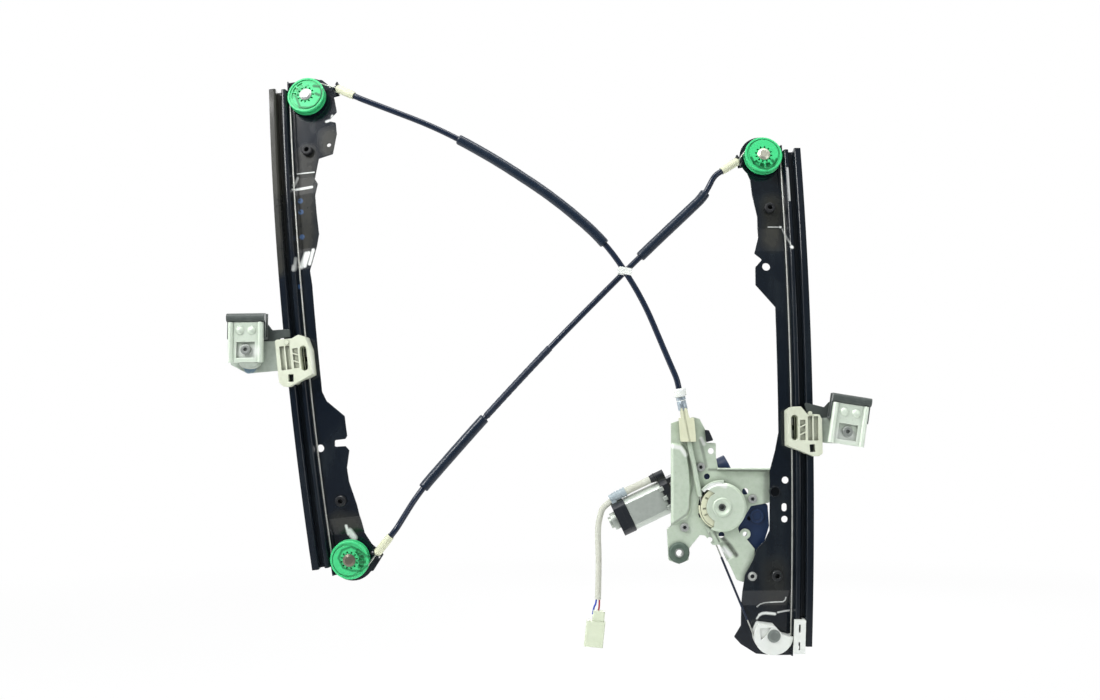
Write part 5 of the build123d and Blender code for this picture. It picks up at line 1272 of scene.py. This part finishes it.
@dataclass
class DriveUnit(Assembly):
    """The plate with the drum, its cover and the gear housing."""

    screw_heads: tuple[Place, ...] = ((-83.6, 12.7), (-32.0, -19.0), (-99.9, -47.4))
    head_front: float = 2.4
    star_points: int = 6
    star_radius: float = 2.15
    star_root: float = 1.45
    washer: tuple[tuple[float, float], ...] = ((4.0, 3.2), (4.4, 3.3), (4.2, 3.9), (4.2, 4.55))
    rope_start: Point = (-102.6, -0.9, 76.0)
    rope_end: Point = (-81.64, 1.4, -30.66)
    # the pressed channel under the rope and the inlet guide's slot: (across, back) sections, top and foot
    channel_section: tuple[tuple[float, float], ...] = ((-2.7, 4.7), (-2.3, -0.2), (-1.4, -1.7), (1.4, -1.7),
                                                        (2.3, -0.2), (2.7, 4.7))
    channel_span: tuple[float, float] = (38.6, -16.4)
    slot_section: tuple[tuple[float, float], ...] = ((-1.7, -3.6), (-1.5, -4.8), (1.5, -4.8), (1.7, -3.6))
    slot_span: tuple[float, float] = (70.4, 38.4)
    end_ease: float = 0.86
    # turned forms: (radius, distance along) pairs
    barrel: tuple[tuple[float, float], ...] = ((4.2, 5.0), (4.75, 5.6), (4.75, 8.6), (4.5, 8.9), (4.5, 9.5),
                                               (4.75, 9.8), (4.75, 18.2), (4.2, 19.0), (2.2, 19.1))
    rivet_bore: tuple[tuple[float, float], ...] = ((2.0, -1.02), (2.0, -0.57))
    rivet_rim: tuple[tuple[float, float], ...] = ((2.05, -0.99), (2.3, -1.42), (2.9, -1.42), (3.3, -0.87))
    rivet_place: Point = (-33.05, 0.0, -95.5)
    drum_place: Point = (-63.0, 0.0, -27.0)
    well_section: tuple[tuple[float, float], ...] = ((21.3, 4.5), (21.3, -0.5), (21.8, -0.9), (22.4, -0.8),
                                                     (22.9, -0.1), (22.9, 4.5))
    well_start: float = 176.0
    well_end: float = 263.0
    well_step: float = 3.0

    def finishes(self) -> dict[str, Finishes]:
        """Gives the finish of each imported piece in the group."""
        return {
            "drive_plate": Finishes.ZINC_PLATE, "drum_cover": Finishes.COVER_ZINC,
            "cable_drum": Finishes.IVORY_NYLON, "drum_spindle": Finishes.DULL_STEEL,
            "gear_housing": Finishes.NAVY_PLASTIC, "housing_screws": Finishes.BRIGHT_STEEL,
            "plate_rivets": Finishes.RIVET_STEEL, "plate_grommet": Finishes.GREY_RUBBER,
            "grommet_sleeve": Finishes.SCREW_STEEL, "plate_clip": Finishes.BLACK_PLASTIC,
            "cable_inlet_guide": Finishes.IVORY_NYLON, "conduit_adjuster": Finishes.GUIDE_NYLON,
        }

    def _rope_at(self, height: float) -> Vector:
        """Gives the place of the upper rope at a height."""
        start, end = Vector(self.rope_start), Vector(self.rope_end)
        return start + (end - start) * ((height - start.z) / (end.z - start.z))

    def _along_rope(self, section: Sequence[tuple[float, float]], span: tuple[float, float]) -> Shell:
        """Sweeps a section along the upper rope, a little narrower at its two ends.

        Args:
            section: (across, back) points, the first from the rope and the second from the regulator's front.
            span: heights of its upper and lower end.

        Returns:
            The mesh in the making.
        """
        top, foot = span
        rings = []
        for step in range(ROPE_STEPS + 1):
            here = self._rope_at(top + (foot - top) * step / ROPE_STEPS)
            ease = 1.0 if 0 < step < ROPE_STEPS else self.end_ease
            rings.append([(here.x + x * ease, back, here.z) for x, back in section])
        shell = Shell()
        shell.skin(rings)
        return shell

    def build(self) -> None:
        """Adds what is seen of the screws, the rope's channel, the adjuster, the drum's well and a rivet, its
        bore a near-black disc of painted shade.
        """
        self._screw_faces()
        channel = self._along_rope(self.channel_section, self.channel_span)
        self.mesh("rope_channel", channel, Finishes.ZINC_PLATE, "zinc_plate")
        slot = self._along_rope(self.slot_section, self.slot_span)
        self.mesh("guide_slot_floor", slot, Finishes.IVORY_NYLON, "ivory_nylon")
        top = UPPER_ROUTE.corners[-1]
        way = (Vector(self.rope_start) - Vector(top)).normalized()
        across = way.cross(Vector((0.0, 1.0, 0.0))).normalized()
        barrel = Shell()
        barrel.turned(Spot(top, tuple(across), tuple(way), tuple(across.cross(way))), self.barrel, 36)
        self.mesh("adjuster_barrel", barrel, Finishes.BARREL_ZINC, "zinc_steel")
        self._drum_well()
        bore, rim = Shell(), Shell()
        place = Spot(self.rivet_place)
        bore.turned(place, self.rivet_bore, 28)
        rim.turned(place, self.rivet_rim, 36, lids=False)
        # painted shade: a near-black disc in the rivet's bore
        self.mesh("rivet_bore", bore, Finishes.DARK_RECESS, "zinc_steel")
        self.mesh("rivet_rim", rim, Finishes.BRIGHT_STEEL, "zinc_steel")

    def _drum_well(self) -> None:
        """Adds the pale rim of the drum's well, on the side that the cover leaves open."""
        count = round((self.well_end - self.well_start) / self.well_step)
        x, _, z = self.drum_place
        rings = []
        for step in range(count + 1):
            turn = math.radians(self.well_start + self.well_step * step)
            rings.append([(x + radius * math.cos(turn), back, z + radius * math.sin(turn))
                          for radius, back in self.well_section])
        well = Shell()
        well.skin(rings)
        self.mesh("drum_well_rim", well, Finishes.IVORY_NYLON, "ivory_nylon")

    def _screw_faces(self) -> None:
        """Adds the star recesses, thin near-black stars of painted shade, and the washers of the three
        housing screws.
        """
        stars, washers = Shell(), Shell()
        for x, z in self.screw_heads:
            spot = Spot((x, 0.0, z))
            star = []
            for turn in circle(4 * self.star_points):
                wave = 0.5 + 0.5 * math.cos(self.star_points * turn)
                reach = self.star_root + (self.star_radius - self.star_root) * wave
                star.append((reach * math.cos(turn), reach * math.sin(turn)))
            stars.slab(spot, star, self.head_front - 0.04, self.head_front + 0.3)
            washers.turned(spot, self.washer)
        self.mesh("screw_stars", stars, Finishes.DARK_RECESS, "zinc_steel")
        self.mesh("screw_washers", washers, Finishes.BRIGHT_STEEL, "zinc_steel")


@dataclass
class WindowMotor(Assembly):
    """The motor behind the plate, with the contacts of its brush holder."""

    can_section: tuple[float, float] = (36.2, 27.7)
    can_sides: int = 56
    collar_span: tuple[float, float] = (-91.4, -85.4)
    tab_lifts: tuple[float, ...] = (-10.0, 0.0, 10.0)
    bar_lifts: tuple[float, ...] = (-4.2, 3.0, 10.2)
    bar_span: tuple[float, float] = (-36.5, -26.0)
    bar_half: float = 1.6
    boot_span: tuple[float, float] = (0.2, 6.6)
    boot_radius: float = 4.9
    boot_taper: float = 1.05
    boot_groove: float = 0.35
    boot_waves: float = 3.2         # of its grooves, in radians to a millimetre
    clip_span: tuple[float, float] = (33.5, 47.0)
    clip_pitch: float = 3.2
    clip_radius: float = 4.7
    clip_rib: float = 0.4
    clip_half_depth: float = 4.4

    def finishes(self) -> dict[str, Finishes]:
        """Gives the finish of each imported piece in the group."""
        return {
            "motor_can": Finishes.MOTOR_ZINC, "motor_end_band": Finishes.BLACK_PLASTIC,
            "motor_end_cap": Finishes.MOTOR_ZINC, "brush_holder": Finishes.BLACK_PLASTIC,
            "lead_strap": Finishes.PALE_STRAP,
        }

    def _flat_round(self, inset: float) -> list[tuple[float, float]]:
        """Gives the can's section, round at its edges and flat on its faces, as (back, up) points."""
        wide, deep = (size / 2 - inset for size in self.can_section)
        return [(max(-deep, min(deep, wide * math.cos(turn))), wide * math.sin(turn))
                for turn in circle(self.can_sides)]

    @staticmethod
    def _round_lead(span: tuple[float, float], step: float, sides: int, deepest: float,
                    radius: Callable[[float], float]) -> Shell:
        """Wraps a form round the motor's lead.

        Args:
            span: where it starts and ends along the lead.
            step: spacing of its rings.
            sides: points in each ring.
            deepest: how far it may reach to the front and to the back.
            radius: gives its radius at a distance from its start.

        Returns:
            The mesh in the making.
        """
        side = Vector((0.0, 1.0, 0.0))
        rings = []
        for distance, place, along in LEAD_ROUTE.stretch(*span, step):
            other = along.cross(side)
            reach = radius(distance - span[0])
            rings.append([tuple(place + side * (math.cos(turn) * min(reach, deepest))
                                + other * (math.sin(turn) * reach)) for turn in circle(sides)])
        shell = Shell()
        shell.skin(rings)
        return shell

    def _boot_at(self, along: float) -> float:
        """Gives the boot's radius: a taper with grooves round it."""
        share = along / (self.boot_span[1] - self.boot_span[0])
        grooved = math.sin((along + self.boot_span[0]) * self.boot_waves) > 0.55
        return self.boot_radius - self.boot_taper * share - (self.boot_groove if grooved else 0.0)

    def _clip_at(self, along: float) -> float:
        """Gives the clip's radius: round ribs at an even pitch."""
        return self.clip_radius + self.clip_rib * math.sin(along * 2 * math.pi / self.clip_pitch)

    def build(self) -> None:
        """Adds the can's collar and crimp tabs, the contact bars, and the lead's boot and clip."""
        tabs, bars, collar = Shell(), Shell(), Shell()
        for lift in self.tab_lifts:
            outline = [(-48.6, lift - 2.0), (-44.0, lift - 2.4), (-44.0, lift + 2.4), (-48.6, lift + 2.0)]
            tabs.slab(MOTOR_SPOT, outline, -15.1, -12.8, 0.4)
        self.mesh("can_crimps", tabs, Finishes.MOTOR_ZINC, "motor_zinc")
        for lift in self.bar_lifts:
            outline = rectangle(*self.bar_span, lift - self.bar_half, lift + self.bar_half)
            bars.slab(MOTOR_SPOT, outline, -14.2, -12.9, 0.4)
        self.mesh("brush_contacts", bars, Finishes.BRIGHT_STEEL, "zinc_steel")
        start, end = self.collar_span
        steps = ((start, 1.2), (start, 0.0), (end - 0.7, 0.0), (end, 0.7), (end, 1.3))
        collar.skin([[MOTOR_SPOT.at(along, *point) for point in self._flat_round(inset)]
                     for along, inset in steps], lids=False)
        self.mesh("can_end_collar", collar, Finishes.BLACK_PLASTIC, "black_plastic")
        boot = self._round_lead(self.boot_span, 0.4, 22, self.boot_radius, self._boot_at)
        self.mesh("lead_boot", boot, Finishes.BLACK_PLASTIC, "black_plastic")
        clip = self._round_lead(self.clip_span, 0.25, 24, self.clip_half_depth, self._clip_at)
        self.mesh("lead_clip", clip, Finishes.PALE_STRAP, "grey_rubber")


@dataclass
class CableRun(Assembly):
    """Ropes, conduits and the soft sleeves on them."""

    upper_foam: Sleeve = Sleeve(122.0, 308.0, 5.4, 3.05, seam=0.3)
    crossing_foam: tuple[Sleeve, Sleeve] = (Sleeve(62.0, 156.0, 5.4, 3.05, seam=0.3),
                                            Sleeve(384.0, 480.0, 5.4, 3.05, seam=0.3))
    tape: Sleeve = Sleeve(158.0, 253.0, 3.7, 3.05, rough=0.03, turn_pitch=8.0, step=0.55, sides=24)

    def finishes(self) -> dict[str, Finishes]:
        """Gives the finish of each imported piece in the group."""
        return {
            "left_rail_rope": Finishes.STEEL_ROPE, "right_rail_rope": Finishes.STEEL_ROPE,
            "upper_drum_rope": Finishes.STEEL_ROPE, "rope_sheath": Finishes.CONDUIT,
            "upper_conduit": Finishes.CONDUIT, "crossing_conduit": Finishes.CONDUIT,
            "conduit_ferrules": Finishes.IVORY_NYLON, "conduit_tie": Finishes.GUIDE_NYLON,
        }

    def build(self) -> None:
        """Adds the foam sleeves and the wound tape."""
        foam = self.upper_foam.shell(UPPER_ROUTE)
        upper = self.mesh("upper_foam_sleeve", foam, Finishes.FOAM, "black_foam")
        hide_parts("upper_conduit_foam")
        both = Shell()
        for sleeve in self.crossing_foam:
            both.join(sleeve.shell(CROSSING_ROUTE))
        crossing = self.mesh("crossing_foam_sleeves", both, Finishes.FOAM, "black_foam")
        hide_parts("crossing_conduit_foam")
        turns = self.tape.shell(CROSSING_ROUTE)
        tape = self.mesh("crossing_tape_wrap", turns, Finishes.TAPE, "black_tape", smooth=75.0)
        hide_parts("crossing_conduit_tape")


@dataclass
class MotorLead(Assembly):
    """The motor's free lead, from the brush holder to its connector."""

    radius: float = 3.1
    length: float = 0.155
    wire_radius: float = 0.9
    blue_route: tuple[Point, ...] = ((-187.1, 27.0, -118.0), (-187.3, 27.0, -126.0), (-190.0, 27.0, -130.0),
                                     (-190.9, 27.0, -137.0))
    red_route: tuple[Point, ...] = ((-184.1, 27.0, -118.0), (-184.3, 27.0, -126.0), (-184.4, 27.0, -130.0),
                                    (-185.7, 27.0, -137.0))
    cover: Sleeve = Sleeve(4.0, 38.0, 3.75, 3.1, rough=0.1, step=0.8)
    contact_places: tuple[float, float] = (-3.4, 3.4)
    contact_half: float = 1.1
    contact_span: tuple[float, float] = (-20.5, -10.5)
    contact_depth: tuple[float, float] = (-0.4, 0.4)

    def finishes(self) -> dict[str, Finishes]:
        """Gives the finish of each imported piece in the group."""
        return {"connector_housing": Finishes.PALE_NYLON}

    def build(self) -> None:
        corners = LEAD_ROUTE.corners
        lead = self.tube("lead_cord", corners, self.radius, Finishes.LEAD_SLEEVE, "white_lead")
        wires = [self.tube(name, route, self.wire_radius, finish, "blue_wire") for name, route, finish in (
            ("lead_wire_blue", self.blue_route, Finishes.BLUE_WIRE),
            ("lead_wire_red", self.red_route, Finishes.RED_WIRE))]
        cover = self.mesh("lead_cover", self.cover.shell(LEAD_ROUTE), Finishes.LEAD_SLEEVE, "white_lead")
        contacts = Shell()
        for x in self.contact_places:
            outline = rectangle(x - self.contact_half, x + self.contact_half, *self.contact_span)
            contacts.slab(CONNECTOR_SPOT, outline, *self.contact_depth, 0.15)
        tongues = self.mesh("connector_contacts", contacts, Finishes.BRASS, "zinc_steel")
        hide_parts("motor_lead")
        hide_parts("lead_wires")
        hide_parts("lead_sleeve")


# ------------------------------------------------------------------ studio
@dataclass
class Studio:
    """Camera, lamps, floor and background."""

    camera_place: Point = (-234.24, -1399.15, 80.8)
    camera_rise: float = 2.0
    focal_px: float = 1400.0
    frame_px: float = 1100.0
    sensor: float = 36.0
    floor_z: float = -0.36
    floor_half: float = 25.0
    world_level: float = 0.33
    front_shade: float = 0.8
    aim: Point = (-0.23, 0.0, 0.1)
    # each lamp's name, place and size in metres, and its power in watts
    lamps: tuple[tuple[str, Point, tuple[float, float], float], ...] = (
        ("key", (-1.75, -1.15, 1.45), (0.7, 0.7), 33.0),
        ("fill", (1.45, -1.35, 0.35), (0.8, 1.1), 7.0),
        ("ceiling", (-0.2, -0.35, 1.85), (1.9, 0.35), 22.0),
        ("side", (-2.1, -0.1, 0.1), (0.5, 1.6), 8.0),
        ("back", (0.3, 1.8, 0.7), (1.4, 1.4), 14.0))

    def camera(self) -> None:
        """Places the camera, a touch below the middle of the regulator."""
        data = bpy.data.cameras.new("camera")
        data.sensor_width = self.sensor
        data.lens = self.sensor * self.focal_px / self.frame_px
        data.clip_end = 60.0
        camera = bpy.data.objects.new("camera", data)
        camera.location = metres([self.camera_place])[0]
        camera.rotation_euler = (math.radians(90.0 + self.camera_rise), 0.0, 0.0)
        bpy.context.scene.collection.objects.link(camera)
        bpy.context.scene.camera = camera

    @staticmethod
    def lamp(name: str, place: Point, aim: Point, size: tuple[float, float], power: float) -> None:
        """Adds a soft white lamp.

        Args:
            name: the lamp's name.
            place: where it stands, in metres.
            aim: what it points at, in metres.
            size: its width and height, in metres.
            power: its power, in watts.
        """
        data = bpy.data.lights.new(name, "AREA")
        data.shape = "RECTANGLE"
        data.size, data.size_y = size
        data.energy = power
        lamp = bpy.data.objects.new(name, data)
        lamp.location = place
        lamp.rotation_euler = (Vector(aim) - Vector(place)).to_track_quat("-Z", "Y").to_euler()
        bpy.context.scene.collection.objects.link(lamp)

    def world(self) -> None:
        """Gives low even light, with white behind the regulator for the camera and for reflections."""
        world = bpy.data.worlds.new("studio")
        bpy.context.scene.world = world
        world.use_nodes = True
        tree = world.node_tree
        tree.nodes.clear()
        net = NodeNet.on_tree(tree)
        way = net.add("ShaderNodeTexCoord", output="Generated")
        behind = net.axis("Y", way).span(-0.35, 0.45, 0.0, 1.0)
        above = net.axis("Z", way).span(0.1, 0.8, 0.0, 0.35)
        camera, glossy, clear = net.rays()
        level = camera.most(glossy * (behind + above).least(1.0)).most(clear)
        shade = glossy * net.axis("Y", way).span(-0.55, -0.05, self.front_shade, 0.0)
        even = net.add("ShaderNodeBackground", None, (0.95, 0.98, 1.0), self.world_level)
        dim = net.add("ShaderNodeBackground", None, (0.5, 0.75, 1.0), 0.06)
        even = net.add("ShaderNodeMixShader", None, shade, even, dim)
        white = net.add("ShaderNodeBackground", None, (1.0, 1.0, 1.0), 1.0)
        seen = net.add("ShaderNodeMixShader", None, level, even, white)
        net.add("ShaderNodeOutputWorld", None, seen, output=None)

    def floor(self) -> None:
        """Lays a wide pale floor well below the regulator."""
        half = self.floor_half
        mesh = bpy.data.meshes.new("floor")
        corners = [(x, y, self.floor_z) for x, y in rectangle(-half, half, -half, half)]
        mesh.from_pydata(corners, [], [(0, 1, 2, 3)])
        floor = bpy.data.objects.new("floor", mesh)
        net = NodeNet("pale_floor")
        net.surface(Base_Color=(0.94, 0.94, 0.94), Roughness=0.9)
        glow = net.add("ShaderNodeEmission", None, (1.0, 1.0, 1.0), 1.0)
        camera, glossy, clear = net.rays()
        place = net.add("ShaderNodeNewGeometry", output="Position")
        away = net.vectors("LENGTH", place, output="Value")
        share = camera.most(glossy * 0.5).most(clear) * away.span(0.9, 2.6, 0.88, 1.0)
        seen = net.add("ShaderNodeMixShader", None, share, Signal(net, net.shader.outputs[0]), glow)
        dim = net.add("ShaderNodeEmission", None, (0.5, 0.7, 1.0), 0.07)
        ahead = glossy * net.axis("Y", place).span(-0.7, -0.1, self.front_shade, 0.0)
        output = net.tree.nodes["Material Output"]
        net.feed(output.inputs["Surface"], net.add("ShaderNodeMixShader", None, ahead, seen, dim))
        mesh.materials.append(net.material)
        bpy.context.scene.collection.objects.link(floor)

    def build(self) -> None:
        """Sets up the whole studio."""
        self.camera()
        self.world()
        self.floor()
        for name, place, size, power in self.lamps:
            self.lamp(name, place, self.aim, size, power)
        bpy.context.scene.view_settings.view_transform = "Standard"


def main() -> None:
    """Builds the studio and every sub-assembly, in order."""
    logging.basicConfig(level=logging.INFO, format="%(name)s %(message)s")
    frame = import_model()
    Studio().build()
    for group in (MotorLead, GuideRails, CablePulleys, GlassCarriers, DriveUnit, WindowMotor, CableRun):
        assembly = group(frame)
        assembly.dress()
        assembly.build()


if __name__ == "__main__":
    main()
